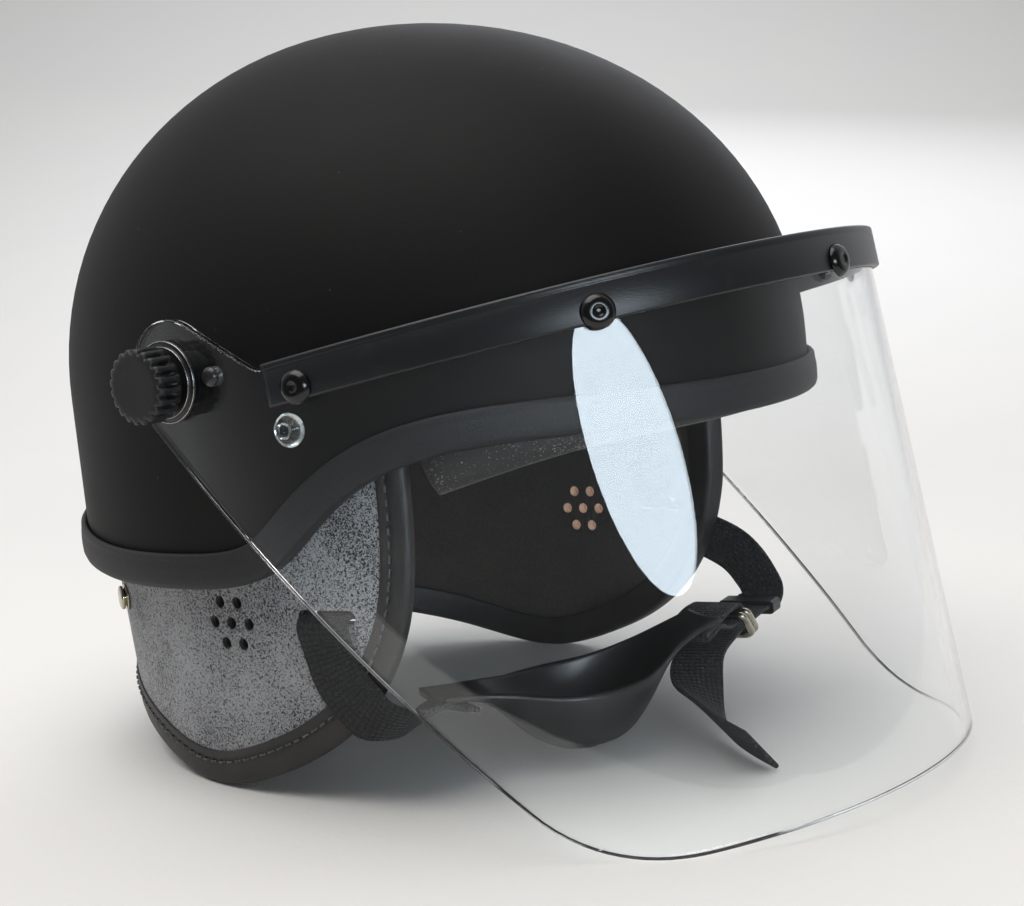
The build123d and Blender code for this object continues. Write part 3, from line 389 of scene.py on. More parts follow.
def speckled_leathercloth(name, pale, mid, speck, rear_threshold, front_threshold, cell):
    """Leathercloth printed with dense worm-like specks: noise bent on itself and cut at a
    threshold that falls towards the face, so that the print is denser there."""
    material, tree, place = start_material(name)
    across = add(tree, "ShaderNodeSeparateXYZ", {"Vector": place}).outputs["Y"]
    patches = add(tree, "ShaderNodeTexNoise", {"Vector": place, "Scale": 38, "Detail": 3})
    worms = add(tree, "ShaderNodeTexNoise",
                {"Vector": place, "Scale": cell, "Detail": 1.5, "Distortion": 1.1})
    fine = add(tree, "ShaderNodeTexNoise",
               {"Vector": place, "Scale": cell * 2.3, "Detail": 1.0, "Distortion": 0.4})
    limit = add(tree, "ShaderNodeMapRange", {"Value": across, "From Min": -0.06, "From Max": 0.03,
                "To Min": front_threshold, "To Max": rear_threshold}, interpolation_type="SMOOTHSTEP")
    centred = add(tree, "ShaderNodeMath", {0: patches, 1: 0.5}, operation="SUBTRACT")
    uneven = add(tree, "ShaderNodeMath", {0: centred, 1: 0.22}, operation="MULTIPLY")
    limit = add(tree, "ShaderNodeMath", {0: limit, 1: uneven}, operation="SUBTRACT")
    above = add(tree, "ShaderNodeMath", {0: worms, 1: limit}, operation="SUBTRACT")
    lines = add(tree, "ShaderNodeMapRange", {"Value": above, "From Min": -0.012, "From Max": 0.028},
                interpolation_type="SMOOTHSTEP")
    above = add(tree, "ShaderNodeMath", {0: fine, 1: limit}, operation="SUBTRACT")
    dots = add(tree, "ShaderNodeMapRange", {"Value": above, "From Min": 0.055, "From Max": 0.09,
               "To Max": 0.6}, interpolation_type="SMOOTHSTEP")
    ink = add(tree, "ShaderNodeMath", {0: lines, 1: dots}, operation="MAXIMUM")
    base = add(tree, "ShaderNodeMix",
               {"Factor": patches, "A": linear(pale), "B": linear(mid)}, data_type="RGBA")
    colour = add(tree, "ShaderNodeMix", {"Factor": ink, "A": base, "B": linear(speck)}, data_type="RGBA")
    relief = add(tree, "ShaderNodeBump", {"Height": worms, "Distance": 0.00018, "Strength": 0.5})
    shader = add(tree, "ShaderNodeBsdfPrincipled",
                 {"Base Color": colour, "Roughness": 0.68, "Sheen Weight": 0.15,
                  "Sheen Roughness": 0.5, "Normal": relief})
    add(tree, "ShaderNodeOutputMaterial", {"Surface": shader})
    return material


def black_binding_leather():
    """Split calf leather dyed black: close pebble grain about a millimetre, worn a little paler."""
    material, tree, place = start_material("black_binding_leather")
    pebbles = add(tree, "ShaderNodeTexVoronoi", {"Vector": place, "Scale": 950})
    rubbed = add(tree, "ShaderNodeTexNoise", {"Vector": place, "Scale": 60, "Detail": 3})
    worn = add(tree, "ShaderNodeMapRange", {"Value": rubbed, "From Min": 0.35, "From Max": 0.75},
               interpolation_type="SMOOTHSTEP")
    colour = add(tree, "ShaderNodeMix",
                 {"Factor": worn, "A": linear("#1c1a1a"), "B": linear("#2b2827")}, data_type="RGBA")
    relief = add(tree, "ShaderNodeBump", {"Height": pebbles, "Distance": 0.00012, "Strength": 0.6})
    shader = add(tree, "ShaderNodeBsdfPrincipled",
                 {"Base Color": colour, "Roughness": 0.52, "Normal": relief})
    add(tree, "ShaderNodeOutputMaterial", {"Surface": shader})
    return material


def waxed_thread():
    """Twisted polyester thread with wax: dark grey, a short glint, twist about a millimetre."""
    material, tree, place = start_material("waxed_thread")
    twist = add(tree, "ShaderNodeTexWave", {"Vector": place, "Scale": 300, "Distortion": 0.6})
    twist = twist.outputs["Fac"]
    colour = add(tree, "ShaderNodeMix",
                 {"Factor": twist, "A": linear("#3c3b3c"), "B": linear("#5d5c5e")}, data_type="RGBA")
    relief = add(tree, "ShaderNodeBump", {"Height": twist, "Distance": 0.0001})
    shader = add(tree, "ShaderNodeBsdfPrincipled",
                 {"Base Color": colour, "Roughness": 0.5, "Normal": relief})
    add(tree, "ShaderNodeOutputMaterial", {"Surface": shader})
    return material


def brushed_cloth(name, dark, pale, scale):
    """Brushed or knitted cloth over foam: short nap, mottled, with soft sheen."""
    material, tree, place = start_material(name)
    nap = add(tree, "ShaderNodeTexNoise", {"Vector": place, "Scale": scale, "Detail": 3})
    patches = add(tree, "ShaderNodeTexNoise", {"Vector": place, "Scale": 45, "Detail": 2})
    raised = add(tree, "ShaderNodeMath", {0: patches, 1: 0.5}, operation="ADD")
    uneven = add(tree, "ShaderNodeMath", {0: nap, 1: raised}, operation="MULTIPLY")
    colour = add(tree, "ShaderNodeMix",
                 {"Factor": uneven, "A": linear(dark), "B": linear(pale)}, data_type="RGBA")
    relief = add(tree, "ShaderNodeBump", {"Height": nap, "Distance": 0.0004, "Strength": 0.7})
    shader = add(tree, "ShaderNodeBsdfPrincipled",
                 {"Base Color": colour, "Roughness": 0.9, "Sheen Weight": 0.2, "Sheen Roughness": 0.6,
                  "Normal": relief})
    add(tree, "ShaderNodeOutputMaterial", {"Surface": shader})
    return material


def far_hole_wall_light():
    """Pale tan on the cut walls of the far side's ear holes only, dry and fibrous: painted light, while
    the near side's walls take the dark lining cloth.
    """
    material, tree, place = start_material("painted_light_hole_wall")
    fibres = add(tree, "ShaderNodeTexNoise", {"Vector": place, "Scale": 1200, "Detail": 2})
    colour = add(tree, "ShaderNodeMix",
                 {"Factor": fibres, "A": linear("#f0c8ac"), "B": linear("#fbe3d0")}, data_type="RGBA")
    relief = add(tree, "ShaderNodeBump", {"Height": fibres, "Distance": 0.0001, "Strength": 0.5})
    shader = add(tree, "ShaderNodeBsdfPrincipled",
                 {"Base Color": colour, "Roughness": 0.85, "Normal": relief})
    add(tree, "ShaderNodeOutputMaterial", {"Surface": shader})
    return material


def clear_plastic(name, tint, roughness, ior):
    """Clear plastic: glass-like, with the plastic's own refraction. It lets the lamps' light
    through, so that what is behind it is lit as the real one is."""
    material, tree, place = start_material(name)
    ripple = add(tree, "ShaderNodeTexNoise", {"Vector": place, "Scale": 9, "Detail": 1})
    relief = add(tree, "ShaderNodeBump", {"Height": ripple, "Distance": 0.0002, "Strength": 0.25})
    body = add(tree, "ShaderNodeBsdfPrincipled",
               {"Base Color": linear(tint), "Roughness": roughness, "IOR": ior,
                "Transmission Weight": 1.0, "Normal": relief})
    passing = add(tree, "ShaderNodeBsdfTransparent", {"Color": linear("#fdfefe")})
    path = add(tree, "ShaderNodeLightPath").outputs["Is Shadow Ray"]
    mixed = add(tree, "ShaderNodeMixShader", {0: path, 1: body, 2: passing})
    add(tree, "ShaderNodeOutputMaterial", {"Surface": mixed})
    return material


def black_plastic(name, dark, pale, roughness, grain, depth, stretch=(1, 1, 1)):
    """Moulded or extruded black plastic: a fine grain, and rub marks a little paler."""
    material, tree, place = start_material(name)
    along = add(tree, "ShaderNodeMapping", {"Vector": place, "Scale": stretch})
    fine = add(tree, "ShaderNodeTexNoise", {"Vector": along, "Scale": grain, "Detail": 2})
    marks = add(tree, "ShaderNodeTexNoise", {"Vector": place, "Scale": 90, "Detail": 4})
    rubbed = add(tree, "ShaderNodeMapRange", {"Value": marks, "From Min": 0.55, "From Max": 0.8},
                 interpolation_type="SMOOTHSTEP")
    colour = add(tree, "ShaderNodeMix",
                 {"Factor": rubbed, "A": linear(dark), "B": linear(pale)}, data_type="RGBA")
    relief = add(tree, "ShaderNodeBump", {"Height": fine, "Distance": depth, "Strength": 0.5})
    shader = add(tree, "ShaderNodeBsdfPrincipled",
                 {"Base Color": colour, "Roughness": roughness, "IOR": 1.5, "Normal": relief})
    add(tree, "ShaderNodeOutputMaterial", {"Surface": shader})
    return material


def plated_metal(name, colour, roughness):
    """Bright plated metal: mirror-like with faint polishing marks and slight tarnish."""
    material, tree, place = start_material(name)
    marks = add(tree, "ShaderNodeTexNoise", {"Vector": place, "Scale": 700, "Detail": 3})
    tarnish = add(tree, "ShaderNodeTexNoise", {"Vector": place, "Scale": 180, "Detail": 2})
    tint = add(tree, "ShaderNodeMix",
               {"Factor": tarnish, "A": linear(colour), "B": linear("#8d8474")}, data_type="RGBA")
    dulled = add(tree, "ShaderNodeMapRange", {"Value": marks, "From Min": 0.3, "From Max": 0.7,
                 "To Min": roughness, "To Max": roughness + 0.12}, interpolation_type="SMOOTHSTEP")
    relief = add(tree, "ShaderNodeBump", {"Height": marks, "Distance": 0.00003, "Strength": 0.4})
    shader = add(tree, "ShaderNodeBsdfPrincipled",
                 {"Base Color": tint, "Metallic": 1.0, "Roughness": dulled, "Normal": relief})
    add(tree, "ShaderNodeOutputMaterial", {"Surface": shader})
    return material


def woven_webbing():
    """Coarse spun polypropylene webbing: rows of fat yarns 1.9 mm apart that cross over each other every
    1.7 mm and wander a little, from the strap's own lengthwise and crosswise millimetres. Its colour
    follows the yarns' height, pale on their tops and near black in the gaps between them, which is
    painted shade."""
    material, tree, place = start_material("woven_webbing")
    own = add(tree, "ShaderNodeAttribute", attribute_name="weave").outputs["Vector"]
    parts = add(tree, "ShaderNodeSeparateXYZ", {"Vector": own})
    bends = add(tree, "ShaderNodeTexNoise", {"Vector": place, "Scale": 330, "Detail": 2})
    wander = add(tree, "ShaderNodeMath", {0: bends, 1: 3.0}, operation="MULTIPLY")
    waves = []
    for direction, repeat in (("Y", 3.8), ("X", 3.4)):
        phase = add(tree, "ShaderNodeMath", {0: parts.outputs[direction], 1: FULL_TURN / repeat},
                    operation="MULTIPLY")
        phase = add(tree, "ShaderNodeMath", {0: phase, 1: wander}, operation="ADD")
        waves.append(add(tree, "ShaderNodeMath", {0: phase}, operation="SINE"))
    crossing = add(tree, "ShaderNodeMath", {0: waves[0], 1: waves[1]}, operation="MULTIPLY")
    yarn = add(tree, "ShaderNodeMath", {0: crossing}, operation="ABSOLUTE")
    fuzz = add(tree, "ShaderNodeTexNoise", {"Vector": place, "Scale": 2600, "Detail": 2})
    fibres = add(tree, "ShaderNodeMath", {0: fuzz, 1: 0.35}, operation="MULTIPLY")
    height = add(tree, "ShaderNodeMath", {0: yarn, 1: fibres}, operation="ADD")
    # Painted shade: the yarns' colour darkens where they sink, in the gaps between them
    painted_gap_shade = add(tree, "ShaderNodeMapRange", {"Value": height, "From Min": 0.1, "From Max": 1.1},
              interpolation_type="SMOOTHSTEP")
    colour = add(tree, "ShaderNodeMix",
                 {"Factor": painted_gap_shade, "A": linear("#040404"), "B": linear("#201f20")}, data_type="RGBA")
    relief = add(tree, "ShaderNodeBump", {"Height": height, "Distance": 0.0006, "Strength": 0.9})
    shader = add(tree, "ShaderNodeBsdfPrincipled",
                 {"Base Color": colour, "Roughness": 0.8, "Sheen Weight": 0.05, "Normal": relief})
    add(tree, "ShaderNodeOutputMaterial", {"Surface": shader})
    return material


def expanded_foam():
    """Expanded polystyrene dyed black: beads about three millimetres across, dull."""
    material, tree, place = start_material("expanded_foam")
    beads = add(tree, "ShaderNodeTexVoronoi", {"Vector": place, "Scale": 330})
    colour = add(tree, "ShaderNodeMix",
                 {"Factor": beads, "A": linear("#1b1a19"), "B": linear("#121111")}, data_type="RGBA")
    relief = add(tree, "ShaderNodeBump", {"Height": beads, "Distance": 0.0005, "Strength": 0.5})
    shader = add(tree, "ShaderNodeBsdfPrincipled",
                 {"Base Color": colour, "Roughness": 0.8, "Normal": relief})
    add(tree, "ShaderNodeOutputMaterial", {"Surface": shader})
    return material


class HelmetShape(bpy.types.PropertyGroup):
    """Sizes of the dressed surfaces."""
    stitch_length: bpy.props.FloatProperty(
        name="Stitch length", description="Length of one stitch of the binding", default=0.0030,
        unit="LENGTH")
    stitch_gap: bpy.props.FloatProperty(
        name="Stitch gap", description="Bare leather between two stitches", default=0.0016,
        unit="LENGTH")
    strap_width: bpy.props.FloatProperty(
        name="Webbing width", description="Width of the chin strap", default=0.0195, unit="LENGTH")
    strap_thickness: bpy.props.FloatProperty(
        name="Webbing thickness", description="Thickness of the chin strap", default=0.0018,
        unit="LENGTH")


class HelmetColours(bpy.types.PropertyGroup):
    """Colours a user would change."""
    curtain: bpy.props.StringProperty(
        name="Curtain", description="Pale ground of the speckled leathercloth, sRGB hex",
        default="#a9abae")
    floor: bpy.props.StringProperty(
        name="Floor", description="Colour of the table cloth, sRGB hex", default="#f3f0eb")


def ride_as(mesh, material, body, replaced, slot):
    """Put a finished mesh in the scene, riding on a body and standing for CAD nodes, if any."""
    piece = bpy.data.objects.new(mesh.name, mesh)
    bpy.context.scene.collection.objects.link(piece)
    mesh.materials.append(material)
    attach(piece, body)
    if replaced:
        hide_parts(*replaced)
    return piece


def finish_node(node, material):
    """Give a CAD node that stays its finished material."""
    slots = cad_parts[node].data.materials
    slots.clear()
    slots.append(material)


def domed_layer(name, outer, inner, edge, columns=192):
    """Crown and wall between two insets: rows run down the outside, round the edge and up the
    inside, z = waist + (h - n) sin t on the crown and a straight mix down to the edge below."""
    phi = np.linspace(0, FULL_TURN, columns, endpoint=False)[None]
    climb = np.radians(np.linspace(89.4, 0, 30))[:, None]
    share = np.linspace(0.15, 1, 7)[:, None]
    rows = []
    for inset, order in ((outer, 1), (inner, -1)):
        crown = on_shell(phi, inset, WAIST + (CROWN - inset) * np.sin(climb))
        low = height_on(edge, on_shell(phi, inset, WAIST)[..., 1])
        wall = on_shell(phi, inset, WAIST + (low - WAIST) * share)
        rows.append(np.concatenate([crown, wall])[::order])
    return lattice(name, np.concatenate(rows))


# Section of the edging as (outward, up) from the rim on the shell's skin
TRIM_SECTION = [(0.2, 9.3), (0.5, 10.0), (1.2, 10.4), (2.0, 10.2), (2.5, 9.5), (2.6, 8.2), (2.55, 7.4),
                (2.85, 6.4), (3.0, 4.5), (3.0, 2.0), (2.9, 0.2), (2.4, -1.1), (1.5, -1.8), (0.2, -2.0),
                (-4.5, -2.0), (-6.2, -1.6), (-7.1, -0.6), (-7.3, 1.0), (-7.3, 8.6), (-6.9, 9.8),
                (-5.8, 10.3), (-4.8, 9.9), (-4.35, 8.8), (-4.3, 1.0), (0.1, 1.0)]


def edging_surface(rim):
    """Edging carried round the rim: the section's first direction is the wall's normal and its
    second is square to that and to the run."""
    phi = np.linspace(0, FULL_TURN, 360, endpoint=False)
    centre = on_shell(phi, 0.0, WAIST)
    centre[:, 2] = height_on(rim, centre[:, 1])
    run = unit(np.roll(centre, -1, 0) - np.roll(centre, 1, 0))
    outward = outward_at(phi)
    up = unit(np.cross(outward, run))
    up *= np.sign(up[:, 2:])
    return lattice("trim_finish", swept(centre, outward, up, TRIM_SECTION), along=True)


class HELMET_OT_shell(bpy.types.Operator):
    """Shell, its rubber edging and the foam liner inside it"""
    bl_idname = "helmet.shell"
    bl_label = "Shell, edging and liner"

    def execute(self, context):
        rim = edge_below_waist(RIM)
        shell = domed_layer("shell_finish", 0.0, SHELL_WALL, rim)
        ride_as(shell, satin_black_paint(), "helmet", ["shell"], "shell")
        liner = domed_layer("liner_finish", LINER_SKIN, LINER_FACE, edge_below_waist(LINER_EDGE), 128)
        ride_as(liner, expanded_foam(), "helmet", ["foam_liner", "liner_band"], "liner")
        ride_as(edging_surface(rim), moulded_foam_rubber(), "helmet", ["edge_trim"], "trim")
        return {"FINISHED"}


def against_wall(axis, side):
    """Place on the liner's face: across it side (h - n) (1 - (r / l)^2 - rise^2)^(1/2), with h the
    half size across, r the place along it and l its half length, n the inset, and rise the height
    over the waist as a share of the crown's."""
    def place(along, z, depth):
        n = PAD_BACK + depth
        rise = np.maximum(z + PAD_HEIGHT - WAIST, 0) / (CROWN - n)
        half, length = HALF_WIDTH - n, np.where(along < 0, FRONT, REAR) - n
        if axis == 1:
            half, length = (FRONT if side < 0 else REAR) - n, HALF_WIDTH - n
        across = side * half * np.sqrt(1 - (along / length) ** 2 - rise ** 2)
        return np.stack([*((across, along) if axis == 0 else (along, across)), z + PAD_HEIGHT], -1)
    return place


def pillow(name, place, half_width, half_height):
    """Pad with a crowned inner face: thickness t = T ((1-p^6)(1-q^6))^(1/2) over p, q in -1..1,
    corners drawn in by (1 - 0.09 q^4), and place(p, q, t) the wall it lies on."""
    p, q = np.meshgrid(*(np.sin(np.linspace(-math.pi / 2, math.pi / 2, count)) for count in (37, 25)),
                       indexing="ij")
    depth = PAD_THICKNESS * np.sqrt(np.clip((1 - p ** 6) * (1 - q ** 6), 0, None))
    across, upright = half_width * p * (1 - 0.09 * q ** 4), half_height * q * (1 - 0.09 * p ** 4)
    low, high = place(across, upright, depth * 0), place(across, upright, depth)
    return lattice(name, np.concatenate([low, high[:, ::-1]], 1), merge=WELD)


def crown_disc():
    """Round pad under the crown: thickness T (1 - r^6)^(1/2) over the disc, height waist +
    (h - n) (1 - (x / (a - n))^2 - (y / (L - n))^2)^(1/2) at the inset n."""
    radius, angle = np.meshgrid(np.sin(np.linspace(0.02, math.pi / 2, 16)),
                                np.linspace(0, FULL_TURN, 64, endpoint=False), indexing="ij")
    x, y = CROWN_PAD_RADIUS * radius * np.cos(angle), CROWN_PAD_RADIUS * radius * np.sin(angle)
    faces = []
    for depth in (0.0 * radius, PAD_THICKNESS * np.sqrt(np.clip(1 - radius ** 6, 0, None))):
        n = PAD_BACK + depth
        length = np.where(y < 0, FRONT, REAR) - n
        z = WAIST + (CROWN - n) * np.sqrt(1 - (x / (HALF_WIDTH - n)) ** 2 - (y / length) ** 2)
        faces.append(np.stack([x, y, z], -1))
    return lattice("crown_pad_finish", np.concatenate([faces[0], faces[1][::-1]]), merge=WELD)


# Section of the brow roll as (share of its height from the lower edge, inset)
BROW_SECTION = [(1, 8.2), (0.7, 8.0), (0.3, 8.0), (0.08, 8.8), (0.0, 11), (0.0, 16), (0.05, 20.0),
                (0.25, 22.4), (0.5, 23.0), (0.75, 22.6), (0.95, 21.0), (1, 18.0)]


def brow_roll():
    """Roll under the front rim: its section stands between the liner's edge and its own, on the
    shell's plan at the section's inset, and closes over a short way at both ends."""
    phi = np.linspace(math.pi + BROW_END, FULL_TURN - BROW_END, 120)[:, None]
    y = on_shell(phi, BROW_MIDDLE, WAIST)[..., 1]
    top = height_on(edge_below_waist(LINER_EDGE), y) - 0.5
    low = height_on(edge_below_waist(BROW_EDGE), y)
    ends = np.clip(np.minimum(phi - phi[0], phi[-1] - phi) / 0.05, 0, 1) ** 0.5
    section = np.array(BROW_SECTION)
    height = top + (low - top) * (1 - section[None, :, 0]) * ends
    inset = BROW_MIDDLE + (section[None, :, 1] - BROW_MIDDLE) * (0.25 + 0.75 * ends)
    return lattice("brow_pad_finish", on_shell(phi, inset, height), merge=WELD)


class HELMET_OT_pads(bpy.types.Operator):
    """Sizing pads inside the liner, the crown pad and the brow pad"""
    bl_idname = "helmet.pads"
    bl_label = "Pads"

    def execute(self, context):
        cloth = brushed_cloth("knitted_pad_cloth", "#141312", "#37332f", 1300)
        for name, axis, side, size in (("right", 0, -1, SIDE_PAD), ("left", 0, 1, SIDE_PAD),
                                       ("front", 1, -1, END_PAD), ("rear", 1, 1, END_PAD)):
            mesh = pillow(f"{name}_pad_finish", against_wall(axis, side), *size)
            ride_as(mesh, cloth, "helmet", [f"{name}_sizing_pad"], "pad")
        ride_as(crown_disc(), cloth, "helmet", ["crown_pad"], "pad")
        roll = brow_roll()
        leather = speckled_leathercloth("speckled_brow_leather", "#282320", "#1d1917", "#98928b",
                                        0.66, 0.66, 1500)
        ride_as(roll, leather, "helmet", ["brow_pad"], "brow")
        return {"FINISHED"}


def curtain_paths():
    """Lower edge of the curtain as (u, z), u the plan arc at the skin from the rear centre, and
    the arc's table: u = the oval's arc length summed over the angle from the rear."""
    angle = np.linspace(0, math.pi, 1500)
    arc = length_along(on_shell(angle + math.pi / 2, CURTAIN_SKIN, WAIST))
    line = curve_through([(y * FRONT, z * WAIST) for y, z in CURTAIN_EDGE], 900, 2)
    length = np.where(line[:, 0] < 0, FRONT, REAR) - CURTAIN_SKIN
    line, length = line[line[:, 0] < length - 0.02], length[line[:, 0] < length - 0.02]
    share = line[:, 0] / length
    u = np.interp(np.arccos(np.sign(share) * np.abs(share) ** (PLAN_POWER / 2)), angle, arc)
    below = line[:, 1] < height_on(edge_below_waist(RIM), line[:, 0]) + 8
    path = np.stack([u, line[:, 1]], -1)[below][::-1]
    path = np.concatenate([path, [(0.0, path[-1, 1])]])
    s = length_along(path)
    even = np.linspace(0, s[-1], 170)
    path = np.stack([np.interp(even, s, path[:, 0]), np.interp(even, s, path[:, 1])], -1)
    whole = np.concatenate([path, path[-2::-1] * [-1, 1]])
    return whole, angle, arc


def on_curtain(u, z, inset, angle, arc):
    """Point of the curtain: plan angle from u by the arc's table, inset growing by the flare
    below the knee, mirrored in x for negative u. The right side's front hangs back by
    H ((u - start) / length)^2, as the soft curtain does."""
    u, z, inset = np.broadcast_arrays(u, z, inset)
    hung_back = HANG * np.clip((u - HANG_START) / HANG_LENGTH, 0, 1) ** 2
    phi = np.interp(np.abs(u) - hung_back, arc, angle) + math.pi / 2
    points = on_shell(phi, inset + FLARE * np.maximum(KNEE - z, 0), np.minimum(z, WAIST))
    points[..., 0] *= np.where(u < 0, -1, 1)
    return points


def cut_with(piece, cutter):
    """Cut a closed piece with another one, whose materials the cut faces take, and keep the
    result as its mesh."""
    cut = piece.modifiers.new("openings", "BOOLEAN")
    cut.operation, cut.solver, cut.object = "DIFFERENCE", "EXACT", cutter
    cut.material_mode = "TRANSFER"
    done = bpy.data.meshes.new_from_object(piece.evaluated_get(bpy.context.evaluated_depsgraph_get()))
    piece.modifiers.clear()
    piece.data = done


def ear_bars():
    """Bars through both sides for the ear holes and the strap slots: circles (y + r cos t,
    z + r sin t), and for the slot the two halves of a circle drawn apart."""
    turn = np.linspace(0, FULL_TURN, 24, endpoint=False)
    forward, upright = np.cos(turn), np.sin(turn)
    outlines = [np.stack([y * HOLE_PITCH + HOLE_RADIUS * forward,
                          HOLES_HEIGHT + z * HOLE_ROW + HOLE_RADIUS * upright], -1)
                for y, z in HOLE_PLACES]
    outlines.append(np.stack([SLOT_Y + SLOT_RADIUS * forward + SLOT_HALF * np.sign(forward),
                              SLOT_Z + SLOT_RADIUS * upright], -1))
    outlines = np.array(outlines)
    bars = np.stack([np.concatenate([np.full(outlines.shape[:2] + (1,), x), outlines], -1)
                     for x in CUTTER_REACH], 1)
    return repeated("cutter", np.concatenate([bars, bars * [-1, 1, 1]]))


# Section of the binding as (inward from the edge, inset), round both faces of the curtain
BINDING_SECTION = [(12.5, 8.75), (12.5, 8.35), (12.1, 8.1), (11.0, 8.0), (9.4, 8.05), (8.7, 8.3),
                   (8.0, 8.0), (6, 7.85), (3, 7.95), (1.4, 8.25), (0.4, 9.0), (0.0, 10.3),
                   (0.0, 13.8), (0.3, 15.2), (1.2, 16.0), (3, 16.3), (8, 16.3), (11.8, 16.2),
                   (12.5, 15.9), (12.5, 15.3), (1.3, 15.2), (1.3, 8.85)]


def binding_surface(path, inward, angle, arc):
    """Binding carried along the curtain's edge, kept above the table where it rests on it."""
    section = np.array(BINDING_SECTION)
    along = path[:, None] + section[None, :, :1] * inward[:, None]
    points = on_curtain(along[..., 0], along[..., 1], section[None, :, 1], angle, arc)
    binding = lattice("binding_finish", points)
    place = np.empty(len(binding.vertices) * 3, np.float32)
    binding.vertices.foreach_get("co", place)
    place[2::3] = np.maximum(place[2::3], 0.0)
    binding.vertices.foreach_set("co", place)
    return binding


def stitch_row(path, inward, shape, angle, arc):
    """Stitches beside the binding's edge: six-sided threads that sink at both ends by
    D (1 - (2t - 1)^4)^(1/2) over their length t."""
    line = path + inward * STITCH_LINE
    s = length_along(line)
    length, pitch = shape.stitch_length * 1000, (shape.stitch_length + shape.stitch_gap) * 1000
    t = np.linspace(0, 1, 6)
    at = np.arange(6, s[-1] - 8, pitch)[:, None] + length * t[None]
    u, z = np.interp(at, s, line[:, 0]), np.interp(at, s, line[:, 1])
    sink = STITCH_ENDS - STITCH_RISE * np.sqrt(np.clip(1 - (2 * t - 1) ** 4, 0, None))[None]
    turn = np.linspace(0, FULL_TURN, 6, endpoint=False)
    n = np.stack([np.interp(at, s, inward[:, 0]), np.interp(at, s, inward[:, 1])], -1)
    u = u[..., None] + n[..., :1] * STITCH_HALF * np.cos(turn)
    z = z[..., None] + n[..., 1:] * STITCH_HALF * np.cos(turn)
    inset = sink[..., None] - STITCH_THICK * np.sin(turn)
    return repeated("binding_stitches", on_curtain(u, z, inset, angle, arc))


# Half section of a press fastener as (radius, height over the skin), inside to outside
SNAP_PROFILE = [(0.3, -5.8), (4.2, -5.8), (4.4, -5.5), (4.4, -5.2), (1.6, -5.1), (1.5, -0.2), (4.7, 0.1),
                (5.0, 0.4), (5.0, 0.8), (4.7, 1.05), (3.4, 1.1), (3.3, 1.4), (4.3, 1.7), (4.5, 2.1),
                (4.3, 2.6), (3.6, 2.9), (1.5, 3.0), (0.3, 3.0)]


def snap_pair():
    """Press fasteners square to the curtain's oval on both sides, where
    x = h (1 - (y / l)^p)^(1/p) below the knee."""
    side = np.array([-1.0, 1.0])
    length, half = (size - CURTAIN_SKIN - FLARE * (KNEE - SNAP_HEIGHT) for size in (REAR, HALF_WIDTH))
    wall = half * (1 - (SNAP_Y / length) ** PLAN_POWER) ** (1 / PLAN_POWER)
    origin = np.stack([side * wall, np.full(2, SNAP_Y), np.full(2, SNAP_HEIGHT)], -1)
    axis = np.stack([side * (wall / half) ** (PLAN_POWER - 1) / half,
                     np.full(2, (SNAP_Y / length) ** (PLAN_POWER - 1) / length), np.zeros(2)], -1)
    return repeated("snap_finish", turned_solid(origin, axis, SNAP_PROFILE, 40))


class HELMET_OT_curtain(bpy.types.Operator):
    """Ear and neck curtain: skin, lining, stitched binding and snaps"""
    bl_idname = "helmet.curtain"
    bl_label = "Ear and neck curtain"

    def execute(self, context):
        shape, colours = context.scene.helmet_shape, context.scene.helmet_colours
        path, angle, arc = curtain_paths()
        tangent = unit(np.gradient(path, axis=0))
        inward = np.stack([-tangent[:, 1], tangent[:, 0]], -1)
        inward *= np.sign(inward[np.argmin(path[:, 1]), 1])
        top_u = path[0, 0] * -np.linspace(-1, 1, len(path))
        top_y = on_shell(np.interp(np.abs(top_u), arc, angle) + math.pi / 2, CURTAIN_SKIN, WAIST)[:, 1]
        top = np.stack([top_u, height_on(edge_below_waist(RIM), top_y) + TURN_IN], -1)
        start = path + inward * 1.2
        share = np.linspace(0, 1, 26)[None, :, None]
        field = start[:, None] * (1 - share) + top[:, None] * share

        def layer(name, near, far):
            skin, back = (on_curtain(field[..., 0], field[..., 1], inset, angle, arc)
                          for inset in (near, far))
            return lattice(name, np.concatenate([skin, back[:, ::-1]], 1), merge=FINE_WELD)

        cloth = speckled_leathercloth("speckled_leathercloth", colours.curtain, "#8b8d91", "#141417",
                                      0.55, 0.49, 1500)
        skin = layer("curtain_finish", CURTAIN_SKIN, CURTAIN_BACK)
        skin = ride_as(skin, cloth, "helmet", ["ear_neck_curtain"], "curtain")
        fleece = brushed_cloth("brushed_lining", "#17130f", "#463d34", 900)
        lining = layer("lining_finish", LINING_SKIN, LINING_BACK)
        lining = ride_as(lining, fleece, "helmet", ["curtain_lining"], "lining")
        cutter = bpy.data.objects.new("cutter", ear_bars())
        cutter.data.materials.append(fleece)
        cutter.data.materials.append(far_hole_wall_light())
        # Hole walls on the far side take the pale tan and those on the near side the dark lining cloth:
        # painted light in the far holes
        sides = np.empty(len(cutter.data.polygons) * 3)
        cutter.data.polygons.foreach_get("center", sides)
        cutter.data.polygons.foreach_set("material_index", (sides[0::3] > 0).astype(np.int32))
        context.scene.collection.objects.link(cutter)
        for piece in (skin, lining):
            cut_with(piece, cutter)
        bpy.data.objects.remove(cutter)

        binding = binding_surface(path, inward, angle, arc)
        ride_as(binding, black_binding_leather(), "helmet", ["curtain_binding"], "binding")
        ride_as(stitch_row(path, inward, shape, angle, arc), waxed_thread(), "helmet", (), "binding")
        nickel = plated_metal("nickel_plated_brass", "#cdc4ae", 0.14)
        ride_as(snap_pair(), nickel, "helmet", ["curtain_snaps"], "nickel")
        return {"FINISHED"}


